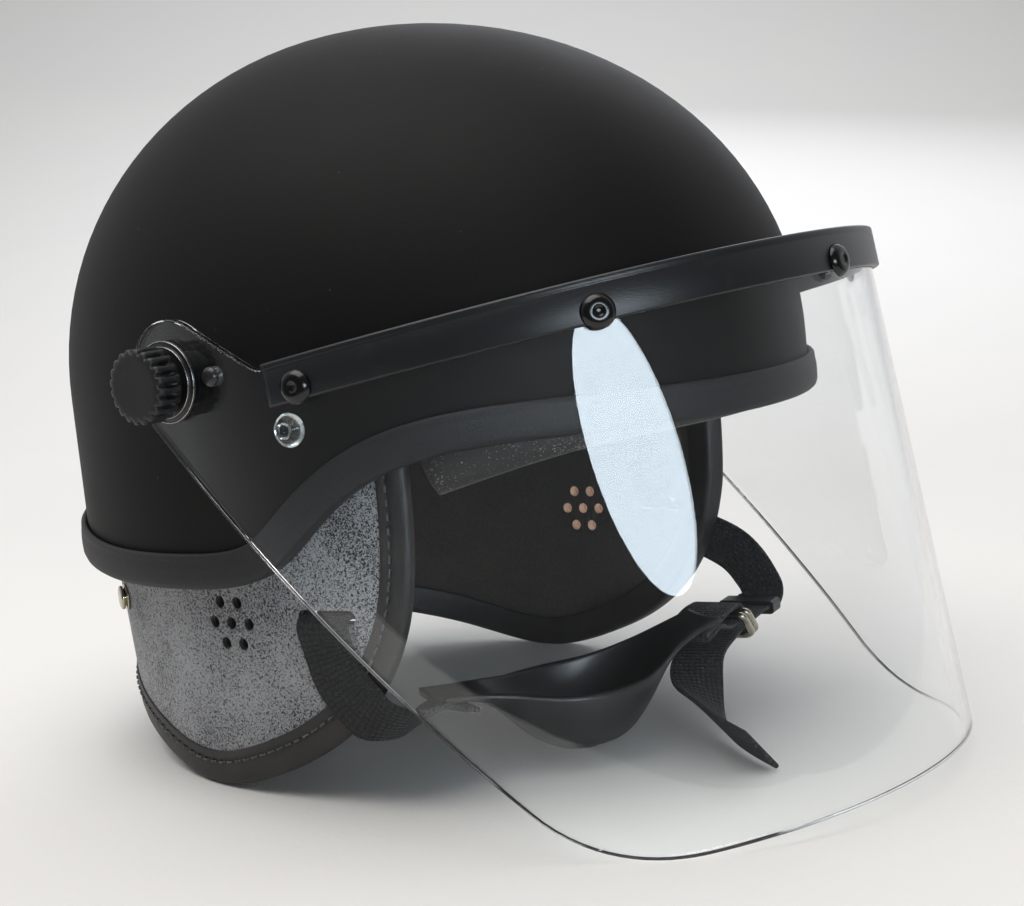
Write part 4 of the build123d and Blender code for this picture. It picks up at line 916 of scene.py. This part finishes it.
def sheet_section(s, shift):
    """Bent section at arc s from the front centre, moved outward by a shift: three tangent arcs,
    x += (R+d)(sin q - sin q0), y += (R+d)(cos q0 - cos q), then a straight tail. Also its angle."""
    s = np.abs(np.asarray(s, float))
    x, y, q = np.zeros_like(s), np.full_like(s, -REACH - shift), np.zeros_like(s)
    done = 0.0
    for radius, turn in SHEET_BENDS:
        bend = radius * math.radians(turn)
        part = np.clip(s - done, 0, bend) / radius
        x = x + (radius + shift) * (np.sin(q + part) - np.sin(q))
        y = y + (radius + shift) * (np.cos(q) - np.cos(q + part))
        q, done = q + part, done + bend
    tail = np.maximum(s - done, 0)
    return x + tail * np.cos(q), y + tail * np.sin(q), q


def on_sheet(s, h, shift):
    """Point of the visor: the pivot + x X - y F + h U, mirrored for negative s."""
    s, h, shift = np.broadcast_arrays(*(np.asarray(v, float) for v in (s, h, shift)))
    x, y = sheet_section(s, shift)[:2]
    x = x * np.where(s < 0, -1, 1)
    return PIVOT + x[..., None] * [1, 0, 0] - y[..., None] * FORWARD + h[..., None] * UPWARD


def sheet_normal(s):
    """Outward normal of the visor at arc s: sin q X + cos q F."""
    q = sheet_section(s, 0.0)[2]
    across = np.sin(q) * np.where(np.asarray(s) < 0, -1, 1)
    return across[..., None] * [1, 0, 0] + np.cos(q)[..., None] * FORWARD


def rounded_corner(before, corner, after, radius):
    """Arc that rounds a corner: tangent length r / tan(half angle) along both runs."""
    corner = np.array(corner, float)
    a, b = unit(np.array(before) - corner), unit(np.array(after) - corner)
    half = math.acos(np.clip(a @ b, -1, 1)) / 2
    centre = corner + unit(a + b) * radius / math.sin(half)
    first, last = corner + a * radius / math.tan(half), corner + b * radius / math.tan(half)
    t = np.linspace(0, 1, 24)[:, None]
    return centre + radius * unit((first - centre) * (1 - t) + (last - centre) * t)


def ear_arc(end, count):
    """Arc of the visor's ear from its rear point to an end angle."""
    turn = np.linspace(math.pi, end, count)[:, None]
    return np.concatenate([EAR_CENTRE + EAR_RADIUS * np.cos(turn), EAR_RADIUS * np.sin(turn)], 1)


def visor_outline():
    """Upper and lower edge of the visor in side view, as (forward, height) lines."""
    upper = ear_arc(math.radians(90 - TOP_SLANT), 40)
    lower = ear_arc(math.radians(270 - LOW_SLANT), 20)
    ear_low = lower[-1]
    corner = (LOW_CORNER, ear_low[1] - (LOW_CORNER - ear_low[0]) * math.tan(math.radians(LOW_SLANT)))
    end, bottom = (BEYOND, TOP_EDGE), (BEYOND, LOW_EDGE - LOW_RISE * BEYOND)
    upper_bend = rounded_corner(upper[-1], (TOP_CORNER, TOP_EDGE), end, TOP_ROUND)
    lower_bend = rounded_corner(ear_low, corner, bottom, LOW_ROUND)
    return np.concatenate([upper, upper_bend, [end]]), np.concatenate([lower, lower_bend, [bottom]])


def arc_at(forward):
    """Arc of the sheet from its front centre at a distance forward of the pivots."""
    arcs = np.linspace(0, QUARTER, 800)
    return np.interp(forward, -sheet_section(arcs, 0.0)[1][::-1], arcs[::-1])


def side_plane(arc, height):
    """Origins and normals on both sides of the sheet, an arc forward of the pivots."""
    s = np.array([-1.0, 1.0]) * (QUARTER - arc)
    return on_sheet(s, height, 0.0), sheet_normal(s)


def sheet_surface():
    """Bent sheet between its two outlines, its edges softened, as one loop round each station."""
    upper, lower = visor_outline()
    ease = np.sin(np.linspace(-math.pi / 2, math.pi / 2, 220))
    s = (QUARTER + SHEET_TAIL) * np.sign(ease) * (1 - (1 - np.abs(ease)) ** 1.15)
    w = -sheet_section(s, 0.0)[1]
    top, low = np.interp(w, upper[:, 0], upper[:, 1]), np.interp(w, lower[:, 0], lower[:, 1])
    share, soft = (1 - np.cos(np.linspace(0, math.pi, 40))) / 2, SHEET_SOFT
    loop = [(0.0, soft, -soft * 0.3), *[(t, 0.0, 0.0) for t in share[1:-1]], (1.0, -soft, -soft * 0.3),
            (1.0, 0.0, -soft), (1.0, 0.0, soft - SHEET), (1.0, -soft, soft * 0.3 - SHEET),
            *[(t, 0.0, -SHEET) for t in share[-2:0:-1]], (0.0, soft, soft * 0.3 - SHEET),
            (0.0, 0.0, soft - SHEET), (0.0, 0.0, -soft)]
    loop = np.array(loop)
    gap = np.minimum(1, (top - low)[:, None] / 4)
    height = low[:, None] + (top - low)[:, None] * loop[None, :, 0] + loop[None, :, 1] * gap
    return lattice("visor_finish", on_sheet(s[:, None], height, loop[None, :, 2]))


# Section of the band as (outward, up) from the sheet's skin and the band's top
BAND_SECTION = [(0.1, -13.6), (2.1, -13.6), (2.5, -13.3), (2.6, -12.9), (2.6, -2.6), (2.45, -2.3),
                (2.6, -2.0), (2.6, -0.8), (2.4, -0.25), (1.9, 0.0), (-2.5, 0.0), (-2.9, -0.3),
                (-3.0, -0.9), (-2.7, -1.3), (0.1, -1.4)]
# Half sections of a rivet, a stud and a bumper as (radius, height over the sheet's skin)
RIVET_PROFILE = [(0.25, 4.62), (1.3, 4.62), (1.6, 5.0), (2.2, 5.1), (3.2, 5.0), (4.2, 4.6), (5.0, 3.8),
                 (5.4, 3.0), (5.45, 2.72), (2.0, 2.7), (2.0, -3.1), (3.4, -3.1), (3.6, -3.4),
                 (3.4, -4.1), (2.6, -4.3), (0.25, -4.3)]
STUD_PROFILE = [(0.2, 2.0), (1.6, 2.0), (2.6, 1.5), (3.1, 0.7), (3.2, 0.15), (1.5, 0.1), (1.5, -3.1),
                (3.1, -3.1), (3.1, -3.6), (2.5, -4.6), (0.2, -4.7)]
BUMPER_PROFILE = [(0.2, 1.0), (2.0, 1.0), (2.5, 0.7), (2.7, 0.15), (1.8, 0.1), (1.8, -3.1), (5.3, -3.1),
                  (5.5, -3.5), (5.2, -4.8), (4.2, -6.0), (2.4, -6.5), (0.2, -6.6)]


def band_surface():
    """Band along the sheet's top edge, which rises evenly from its ends to the front."""
    end = arc_at(BAND_END)
    s = np.linspace(-end, end, 260)
    w = -sheet_section(s, 0.0)[1]
    top = BAND_TOP + (w - BAND_END) / (BEYOND - BAND_END) * BAND_RISE
    section = np.array(BAND_SECTION)
    height = top[:, None] + section[None, :, 1]
    return lattice("band_finish", on_sheet(s[:, None], height, section[None, :, 0]))


def rivet_row():
    """Rivets square to the sheet: two on each side and one at the front."""
    origins, normals = [], []
    for arc in RIVET_ARCS:
        height = RIVET_DROP + RIVET_RISE * -sheet_section(QUARTER - arc, 0.0)[1]
        pair = side_plane(arc, height)
        origins += list(pair[0])
        normals += list(pair[1])
    origins.append(on_sheet(0.0, RIVET_DROP + RIVET_RISE * REACH, 0.0))
    normals.append(FORWARD)
    return repeated("rivet_finish", turned_solid(origins, normals, RIVET_PROFILE, 40))


class HELMET_OT_visor(bpy.types.Operator):
    """Clear bent sheet, the band over its top edge, rivets, studs and bumpers"""
    bl_idname = "helmet.visor"
    bl_label = "Visor"

    def execute(self, context):
        clear = clear_plastic("clear_polycarbonate", "#fcfdfd", 0.0, 1.45)
        ride_as(sheet_surface(), clear, "visor", ["visor_lens"], "clear_sheet")
        plastic = black_plastic("extruded_band_plastic", "#1d1f23", "#292c31", 0.36, 500, 0.00008,
                                (1, 1, 6))
        ride_as(band_surface(), plastic, "visor", ["visor_band"], "band")
        lacquer = black_plastic("lacquered_rivet", "#0c0c0d", "#161616", 0.2, 600, 0.00002)
        ride_as(rivet_row(), lacquer, "visor", ["band_rivets"], "rivet")

        smoked = black_plastic("smoked_stud_plastic", "#2a2a2b", "#3a3a3b", 0.3, 500, 0.00003)
        vinyl = clear_plastic("clear_vinyl", "#dfe6e6", 0.12, 1.4)
        for index, name in enumerate(("right", "left")):
            for part, profile, (forward, height), material, slot in (
                    ("detent_stud", STUD_PROFILE, STUD_PLACE, smoked, "rivet"),
                    ("visor_bumper", BUMPER_PROFILE, BUMPER_PLACE, vinyl, "bumper")):
                origins, normals = side_plane(QUARTER - arc_at(forward), height)
                solid = turned_solid(origins[index], normals[index], profile, 36)
                solid = repeated(f"{name}_{part}_finish", solid)
                ride_as(solid, material, "visor", [f"{name}_{part}"], slot)
        return {"FINISHED"}


# Half sections of a knob and a washer as (radius, height over the seat)
GRIP_HEIGHTS = (3.2, 4.0, 4.4, 5.0, 6.4, 7.6, 8.0, 8.8, 9.4, 10.2, 11.4)
KNOB_PROFILE = [(0.1, 0.0), (8.9, 0.0), (9.3, 0.3), (9.4, 2.0), (9.6, 2.3), (10.4, 2.4), (10.7, 2.7),
                *[(KNOB_RADIUS, height) for height in GRIP_HEIGHTS],
                (10.7, 12.0), (10.2, 12.35), (9.0, 12.4), (5.0, 12.3), (0.1, 12.3)]
WASHER_PROFILE = [(3.1, 0.0), (13.1, 0.0), (13.5, 0.35), (13.5, 0.85), (13.1, 1.2), (11.9, 1.2),
                  (11.7, 1.4), (11.7, 1.8), (11.4, 2.0), (3.1, 2.0)]
# Pale metal beads on the washer's edges as (radius, height over the seat): painted highlights standing
# for the reflections on its rounded edges
PAINTED_HIGHLIGHT_EDGES = ((13.2, 1.2), (11.5, 2.0))


def between(value, low, high, ease):
    """1 between two limits, eased to 0 over a width inside both."""
    return np.clip((value - low) / ease, 0, 1) * np.clip((high - value) / ease, 0, 1)


def ribbed_knob(name, side):
    """Turned knob whose radius grows by half-round ribs, R (1 - (a / R)^2)^(1/2) over the arc a from
    a rib's middle, and shrinks by a pocket between each two of them."""
    rows = np.array(KNOB_PROFILE)
    height = rows[:, 1]
    angle = np.linspace(0, FULL_TURN, 400, endpoint=False)
    phase = (angle * KNOB_RIBS / FULL_TURN) % 1
    from_rib = (phase - 0.5) * FULL_TURN * KNOB_RADIUS / KNOB_RIBS
    rib = np.sqrt(np.clip(1 - (from_rib / RIB_RISE) ** 2, 0, None))
    beside = np.clip((np.abs(phase - 0.5) - 0.22) / 0.06, 0, 1)
    pocket = beside[None] * between(height, 4.2, 8.6, 0.5)[:, None]
    ribs = between(height, 2.4, 12.3, 0.5)[:, None]
    radius = rows[:, :1] + RIB_RISE * ribs * rib[None] - POCKET_DEPTH * pocket
    x = side * (EAR_FACE + KNOB_SEAT) + side * rows[:, 1:] + 0 * radius
    y, z = PIVOT[1] + radius * np.cos(angle), PIVOT[2] + radius * np.sin(angle)
    return lattice(name, np.stack([x, y, z], -1))


class HELMET_OT_pivots(bpy.types.Operator):
    """Pivot knobs, washers, spacers and screws"""
    bl_idname = "helmet.pivots"
    bl_label = "Pivots"

    def execute(self, context):
        abs_plastic = black_plastic("moulded_knob_abs", "#191919", "#262525", 0.48, 1500, 0.00012)
        nylon = black_plastic("black_nylon", "#131314", "#1e1e1e", 0.34, 900, 0.00006)
        steel = plated_metal("zinc_plated_steel", "#b9bbbd", 0.3)
        highlight_metal = plated_metal("painted_highlight_ring", "#d4d4d4", 0.22)
        for side, name in ((-1, "right"), (1, "left")):
            knob = ribbed_knob(f"{name}_knob_finish", side)
            ride_as(knob, abs_plastic, f"{name}_knob", [f"{name}_pivot_knob"], "knob")
            axis, centre = (side, 0, 0), (side * EAR_FACE, PIVOT[1], PIVOT[2])
            washer = repeated(f"{name}_washer_finish", turned_solid(centre, axis, WASHER_PROFILE, 96))
            ride_as(washer, nylon, "helmet", [f"{name}_pivot_washer"], "washer")
            # Thin pale metal beads round the washer's edges stand in for the highlights on them: painted
            # highlights
            for number, (r, h) in enumerate(PAINTED_HIGHLIGHT_EDGES):
                highlight_bead = [(r - 0.22, h), (r - 0.1, h + 0.2), (r + 0.1, h + 0.2), (r + 0.22, h),
                        (r, h - 0.2)]
                loop = turned_solid(centre, axis, highlight_bead, 96)[0]
                loop = lattice(f"{name}_ring_{number}", loop, along=True)
                ride_as(loop, highlight_metal, "helmet", (), "washer")
            finish_node(f"{name}_pivot_screw", steel)
            finish_node(f"{name}_visor_spacer", nylon)
        return {"FINISHED"}


def strap_stations(side, leg):
    """Stations of one strap: the hidden leg on the wall, then the free leg, (point, across)."""
    stations = []
    for inset, y, z in HIDDEN_LEG:
        n, y, z = inset * HALF_WIDTH, y * FRONT, z * WAIST
        rise = max(z - WAIST, 0) / (CROWN - n)
        x = side * (HALF_WIDTH - n) * math.sqrt(1 - (y / (FRONT - n)) ** 2 - rise ** 2)
        lean = -y / x * (HALF_WIDTH / FRONT) ** 2
        stations.append((x, y, z, lean, 1, HIDDEN_FALL))
    for (x, y, z), (a, b, c) in leg:
        stations.append((side * x * HALF_WIDTH, y * FRONT, z * WAIST, side * a, b, c))
    return np.array(stations, float)


def webbing_surface(name, centres, across, width, thickness):
    """Flat band: section of half width w and half thickness t with rounded sides, set square to
    the run: P = C + a A + b B, A the part of `across` that is square to the run, B = run x A."""
    run = unit(np.gradient(centres, axis=0))
    across = unit(across - run * np.sum(across * run, -1, keepdims=True))
    up = np.cross(run, across)
    w, t = width / 2, thickness / 2
    half = [(-w, 0.0), (-w + 0.12, 0.55 * t), (-w + 0.5, 0.9 * t),
            *[(x, t) for x in np.linspace(-w + 1.2, w - 1.2, 9)],
            (w - 0.5, 0.9 * t), (w - 0.12, 0.55 * t), (w, 0.0)]
    section = np.array(half + [(x, -y) for x, y in half[-2:0:-1]])
    s = length_along(centres)
    own = np.stack(np.meshgrid(s, section[:, 0], indexing="ij"), -1)
    return lattice(name, swept(centres, across, up, section), texture=own)


def loop_surface(stations, width, thickness):
    """Webbing loop from the strap round the bar of the rings and back, drawn in the plane of the
    strap's run at the rings and the direction square to its face."""
    here, after = stations[LOOP_STATION:LOOP_STATION + 2]
    x_dir = unit(here[:3] - after[:3])
    z_dir = unit(-here[3:] + x_dir * np.dot(here[3:], x_dir))
    y_dir = np.cross(z_dir, x_dir)
    bar_x = -RING_DROP / 2 * math.cos(RING_LEAN)
    bar_y = RING_DROP / 2 * math.sin(RING_LEAN) + 1.2
    gap, (upper, lower) = LOOP_GAP, LOOP_HEIGHTS
    route = [(bar_x - 28, upper), (bar_x - 12, upper), (bar_x - 4.2, upper),
             (bar_x + 2, bar_y + gap + 0.4), (bar_x + 4.2 + gap, bar_y + 0.8),
             (bar_x + 4.2 + gap - 0.6, bar_y - gap + 0.4), (bar_x + 1, bar_y - gap),
             (bar_x - gap - 3, bar_y - gap + 0.6), (bar_x - RING_DROP, lower),
             (bar_x - 20, lower), (bar_x - 28, lower)]
    flat = curve_through(route, 120, 2)
    centres = here[:3] + flat[:, :1] * x_dir + flat[:, 1:] * y_dir
    across = np.repeat(z_dir[None], len(centres), 0)
    return webbing_surface("ring_loop_finish", centres, across, width, thickness)


def arched(half_chord, sagitta, lift, v):
    """Circular arc of a chord and sagitta: R = (c^2 + d^2) / 2d, point at angle v q."""
    radius = (half_chord ** 2 + sagitta ** 2) / (2 * sagitta)
    angle = np.arctan2(half_chord, radius - sagitta)[:, None] * v
    radius, middle = radius[:, None], (radius - sagitta)[:, None]
    return radius * np.sin(angle), lift[:, None] - (radius * np.cos(angle) - middle)


def cup_surface():
    """Cup lofted over its stations: arcs outside and inside, one wall apart, with a raised line
    along it and four shallow grooves across its lower half."""
    axis = np.array([math.cos(CUP_TURN), -math.sin(CUP_TURN), 0])
    side = np.array([math.sin(CUP_TURN), math.cos(CUP_TURN), 0])
    table = np.array(CUP_STATIONS, float)
    rows = curve_through(np.concatenate([table[:, :1] * CUP_HALF, table], 1), 90, 1)[:, 1:]
    span, wide, deep, rise = rows.T
    centre = CUP_PLACE + rise[:, None] * CUP_DEPTH * [0, 0, 1] + span[:, None] * CUP_HALF * axis
    half, depth = CUP_HALF_WIDTH * wide, np.clip(CUP_DEPTH * deep, 0.8, None)
    lip_in, lip_up = CUP_WALL * deep, CUP_WALL * (1 - deep)
    v = np.linspace(-1, 1, 49)[None]
    out_x, out_y = arched(half, depth, 0 * half, v)
    in_x, in_y = arched(half - lip_in, np.clip(depth + lip_up - CUP_WALL, 0.7, None), lip_up, v)

    bowl = np.clip(deep, 0, 1)[:, None] ** 2
    line = v + RIDGE_PLACE
    ridge = np.exp(-(line / 0.035) ** 2)
    ridge = ridge - 0.9 * np.clip(line / 0.05, 0, 1) * np.clip((0.5 - v) / 0.3, 0, 1)
    grooves = sum(np.exp(-((span[:, None] - place) / 0.018) ** 2) for place in GROOVE_PLACES)
    grooves = grooves * np.exp(-((v + 0.16) / 0.13) ** 4)
    shift = bowl * (0.45 * ridge - 0.7 * grooves)
    out_x = out_x * (1 + shift / np.maximum(half, 12)[:, None])
    out_y = out_y * (1 + shift / np.maximum(depth, 12)[:, None])
    x = np.concatenate([out_x, in_x[:, ::-1]], 1)[..., None]
    y = np.concatenate([out_y, in_y[:, ::-1]], 1)[..., None]
    return lattice("chin_cup_finish", centre[:, None] + x * side + y * np.array([0, 0, 1.0]))


class HELMET_OT_chin_strap(bpy.types.Operator):
    """Chin straps, the loop under the rings, rings, keeper and the moulded cup"""
    bl_idname = "helmet.chin_strap"
    bl_label = "Chin strap and cup"

    def execute(self, context):
        shape = context.scene.helmet_shape
        weave = woven_webbing()
        width, thickness = shape.strap_width * 1000, shape.strap_thickness * 1000
        for side, name, leg in ((-1, "right", RIGHT_LEG), (1, "left", LEFT_LEG)):
            line = curve_through(strap_stations(side, leg), 260)
            strap = webbing_surface(f"{name}_strap_finish", line[:, :3], line[:, 3:], width, thickness)
            ride_as(strap, weave, "helmet", [f"{name}_chin_strap"], "webbing")

        loop = loop_surface(strap_stations(1, LEFT_LEG)[len(HIDDEN_LEG):], width, thickness)
        ride_as(loop, weave, "helmet", ["ring_loop"], "webbing")
        finish_node("d_rings", plated_metal("nickel_plated_steel", "#d8d2c4", 0.12))
        keeper = black_plastic("moulded_keeper_plastic", "#121213", "#1f1f1f", 0.4, 900, 0.0001)
        finish_node("strap_keeper", keeper)
        cup = cup_surface()
        moulded = black_plastic("moulded_cup_polythene", "#1c1c1d", "#2a292a", 0.4, 420, 0.0001)
        ride_as(cup, moulded, "helmet", ["chin_cup"], "cup")
        return {"FINISHED"}


# Cloth in metres: its near end, its length, half its width at the helmet and the growth of that
# per metre, the start and run of its rise behind the helmet, how high it rises, and how far it
# lies below the helmet; it runs away from the camera at a bearing in degrees
CLOTH_START, CLOTH_LENGTH, CLOTH_HALF, CLOTH_SPREAD = -0.42, 3.42, 0.44, 0.45
CLOTH_BEND, CLOTH_RUN, CLOTH_RISE, CLOTH_BELOW = 0.8, 2.2, 1.0, 0.0006
CLOTH_BEARING = -52.27
# Camera of the photograph: bearing, tilt and roll in degrees, the point it looks at and its
# distance from that in millimetres, and its focal length and width in pixels of the picture
BEARING, TILT, ROLL = -52.273, 7.296, -5.757
AIM, DISTANCE = np.array([0, -43.294, 101.289]), 659.03
FOCAL, PICTURE_WIDTH, SENSOR = 1781.86, 1024, 36.0
# Lamps as (name, place, aim, size, power, tint)
LAMPS = (("overhead_softbox", (-0.5, 0.1, 1.7), (0, 0, 0.1), (1.6, 1.6), 22.5, "#fffdfb"),
         ("backdrop_softbox", (1.03, 0.80, 1.45), (2.3, 1.78, 0.55), (1.0, 1.0), 8.0, "#f2f7ff"),
         ("far_softbox", (1.5, 0.6, 1.0), (0, 0, 0.1), (1.2, 1.2), 6.0, "#f4f7ff"),
         ("window", (-1.02, -1.56, 0.325), (-0.06, -0.12, 0.13), (1.0, 0.37), 14.5, "#dcebf6"))
# Direction in which the room is brightest
BRIGHT_SIDE = (0.77, 0.60, 0.2)


def cotton_cloth(colour):
    """Matt brushed cotton with soft folds and fine threads in its bump."""
    material, tree, place = start_material("brushed_cotton_cloth")
    threads = add(tree, "ShaderNodeTexNoise", {"Vector": place, "Scale": 420, "Detail": 3})
    folds = add(tree, "ShaderNodeTexNoise", {"Vector": place, "Scale": 7, "Detail": 2})
    tone = add(tree, "ShaderNodeMix",
               {"Factor": folds, "A": linear(colour), "B": linear("#efedea")}, data_type="RGBA")
    low_threads = add(tree, "ShaderNodeMath", {0: threads, 1: 0.1}, operation="MULTIPLY")
    height = add(tree, "ShaderNodeMath", {0: low_threads, 1: folds}, operation="ADD")
    relief = add(tree, "ShaderNodeBump", {"Height": height, "Distance": 0.002, "Strength": 0.6})
    shader = add(tree, "ShaderNodeBsdfPrincipled",
                 {"Base Color": tone, "Roughness": 0.95, "Normal": relief})
    add(tree, "ShaderNodeOutputMaterial", {"Surface": shader})
    return material


def cloth_mesh():
    """Cloth that widens away from the camera and rises by a parabola behind the helmet."""
    across, along = np.meshgrid(np.linspace(-1, 1, 41), np.linspace(0, 1, 61), indexing="ij")
    away = np.radians(CLOTH_BEARING)
    run = CLOTH_START + CLOTH_LENGTH * along
    across = across * (CLOTH_HALF + CLOTH_SPREAD * np.maximum(run, 0))
    bend = np.clip((run - CLOTH_BEND) / CLOTH_RUN, 0, 1)
    x = -math.sin(away) * run + math.cos(away) * across
    y = math.cos(away) * run + math.sin(away) * across
    points = np.stack([x, y, 0 * x - CLOTH_BELOW + CLOTH_RISE * bend ** 2], -1)
    mesh = mesh_from("table_cloth", points, lattice_faces(41, 61, False, False).tolist())
    if mesh.polygons[0].normal.z < 0:
        mesh.flip_normals()
    return mesh


def fitted_camera():
    """Camera from bearing, tilt and roll: its back direction is (sin b cos t, -cos b cos t, sin t),
    and the roll turns its two other axes about it."""
    azimuth, elevation, roll = (math.radians(v) for v in (BEARING, TILT, ROLL))
    level = math.cos(elevation)
    back = np.array([math.sin(azimuth) * level, -math.cos(azimuth) * level, math.sin(elevation)])
    right = np.array([math.cos(azimuth), math.sin(azimuth), 0])
    up = np.cross(back, right)
    x_axis = math.cos(roll) * right + math.sin(roll) * up
    y_axis = -math.sin(roll) * right + math.cos(roll) * up
    camera = bpy.data.objects.new("camera", bpy.data.cameras.new("camera"))
    camera.data.sensor_width, camera.data.lens = SENSOR, FOCAL * SENSOR / PICTURE_WIDTH
    camera.data.clip_start, camera.data.clip_end = 0.01, 20
    turned = Matrix([turned_to_frame(v) for v in (x_axis, y_axis, back)]).transposed().to_4x4()
    turned.translation = Vector(placed(AIM + back * DISTANCE))
    camera.matrix_world = turned
    return camera


def pale_room():
    """World that the camera sees as an even wall and all other rays as brighter on one side."""
    world = bpy.data.worlds.new("pale_room")
    world.use_nodes = True
    tree = world.node_tree
    tree.nodes.clear()
    seen = add(tree, "ShaderNodeBackground", {"Color": linear("#e6e9ec"), "Strength": 1.0})
    direction = add(tree, "ShaderNodeTexCoord").outputs["Generated"]
    side = add(tree, "ShaderNodeVectorMath", {0: direction, 1: BRIGHT_SIDE}, operation="DOT_PRODUCT")
    strength = add(tree, "ShaderNodeMapRange",
                   {"Value": side.outputs["Value"], "From Min": -0.5, "From Max": 0.6,
                    "To Min": 0.12, "To Max": 0.8}, interpolation_type="SMOOTHSTEP")
    room = add(tree, "ShaderNodeBackground", {"Color": linear("#f1f3f6"), "Strength": strength})
    ray = add(tree, "ShaderNodeLightPath").outputs["Is Camera Ray"]
    both = add(tree, "ShaderNodeMixShader", {0: ray, 1: room, 2: seen})
    add(tree, "ShaderNodeOutputWorld", {"Surface": both})
    return world


class HELMET_OT_stage(bpy.types.Operator):
    """Table cloth, soft lamps, background and camera"""
    bl_idname = "helmet.stage"
    bl_label = "Stage"

    def execute(self, context):
        scene = context.scene
        scene.view_settings.view_transform = "Standard"
        material = cotton_cloth(scene.helmet_colours.floor)
        cloth = bpy.data.objects.new("table_cloth", cloth_mesh())
        cloth.data.materials.append(material)
        scene.collection.objects.link(cloth)

        scene.camera = fitted_camera()
        scene.collection.objects.link(scene.camera)

        for name, place, aim, size, power, tint in LAMPS:
            lamp = bpy.data.lights.new(name, "AREA")
            lamp.shape = "ELLIPSE" if name == "window" else "RECTANGLE"
            lamp.size, lamp.size_y = size
            lamp.energy, lamp.color = power, linear(tint)[:3]
            holder = bpy.data.objects.new(name, lamp)
            holder.location = place
            holder.rotation_euler = (Vector(aim) - Vector(place)).to_track_quat("-Z", "Y").to_euler()
            holder.visible_diffuse = name != "window"
            scene.collection.objects.link(holder)
        scene.world = pale_room()
        return {"FINISHED"}


class HELMET_PT_panel(bpy.types.Panel):
    """Lists the helmet's pieces in the sidebar"""
    bl_label = "Helmet"
    bl_space_type = "VIEW_3D"
    bl_region_type = "UI"
    bl_category = "Helmet"

    def draw(self, context):
        for group in (context.scene.helmet_shape, context.scene.helmet_colours):
            for key in group.bl_rna.properties.keys():
                if key not in ("rna_type", "name"):
                    self.layout.prop(group, key)
        for operator in OPERATORS:
            self.layout.operator(operator.bl_idname)


OPERATORS = (HELMET_OT_stage, HELMET_OT_shell, HELMET_OT_pads, HELMET_OT_curtain, HELMET_OT_visor,
             HELMET_OT_pivots, HELMET_OT_chin_strap)
CLASSES = (HelmetShape, HelmetColours, *OPERATORS, HELMET_PT_panel)


def register():
    for kind in CLASSES:
        bpy.utils.register_class(kind)
    bpy.types.Scene.helmet_shape = bpy.props.PointerProperty(type=HelmetShape)
    bpy.types.Scene.helmet_colours = bpy.props.PointerProperty(type=HelmetColours)


def unregister():
    del bpy.types.Scene.helmet_colours
    del bpy.types.Scene.helmet_shape
    for kind in reversed(CLASSES):
        bpy.utils.unregister_class(kind)


def main():
    """Make the stage and every piece."""
    register()
    bpy.ops.helmet.stage()
    bpy.ops.helmet.shell()
    bpy.ops.helmet.pads()
    bpy.ops.helmet.curtain()
    bpy.ops.helmet.visor()
    bpy.ops.helmet.pivots()
    bpy.ops.helmet.chin_strap()


if __name__ == "__main__":
    main()
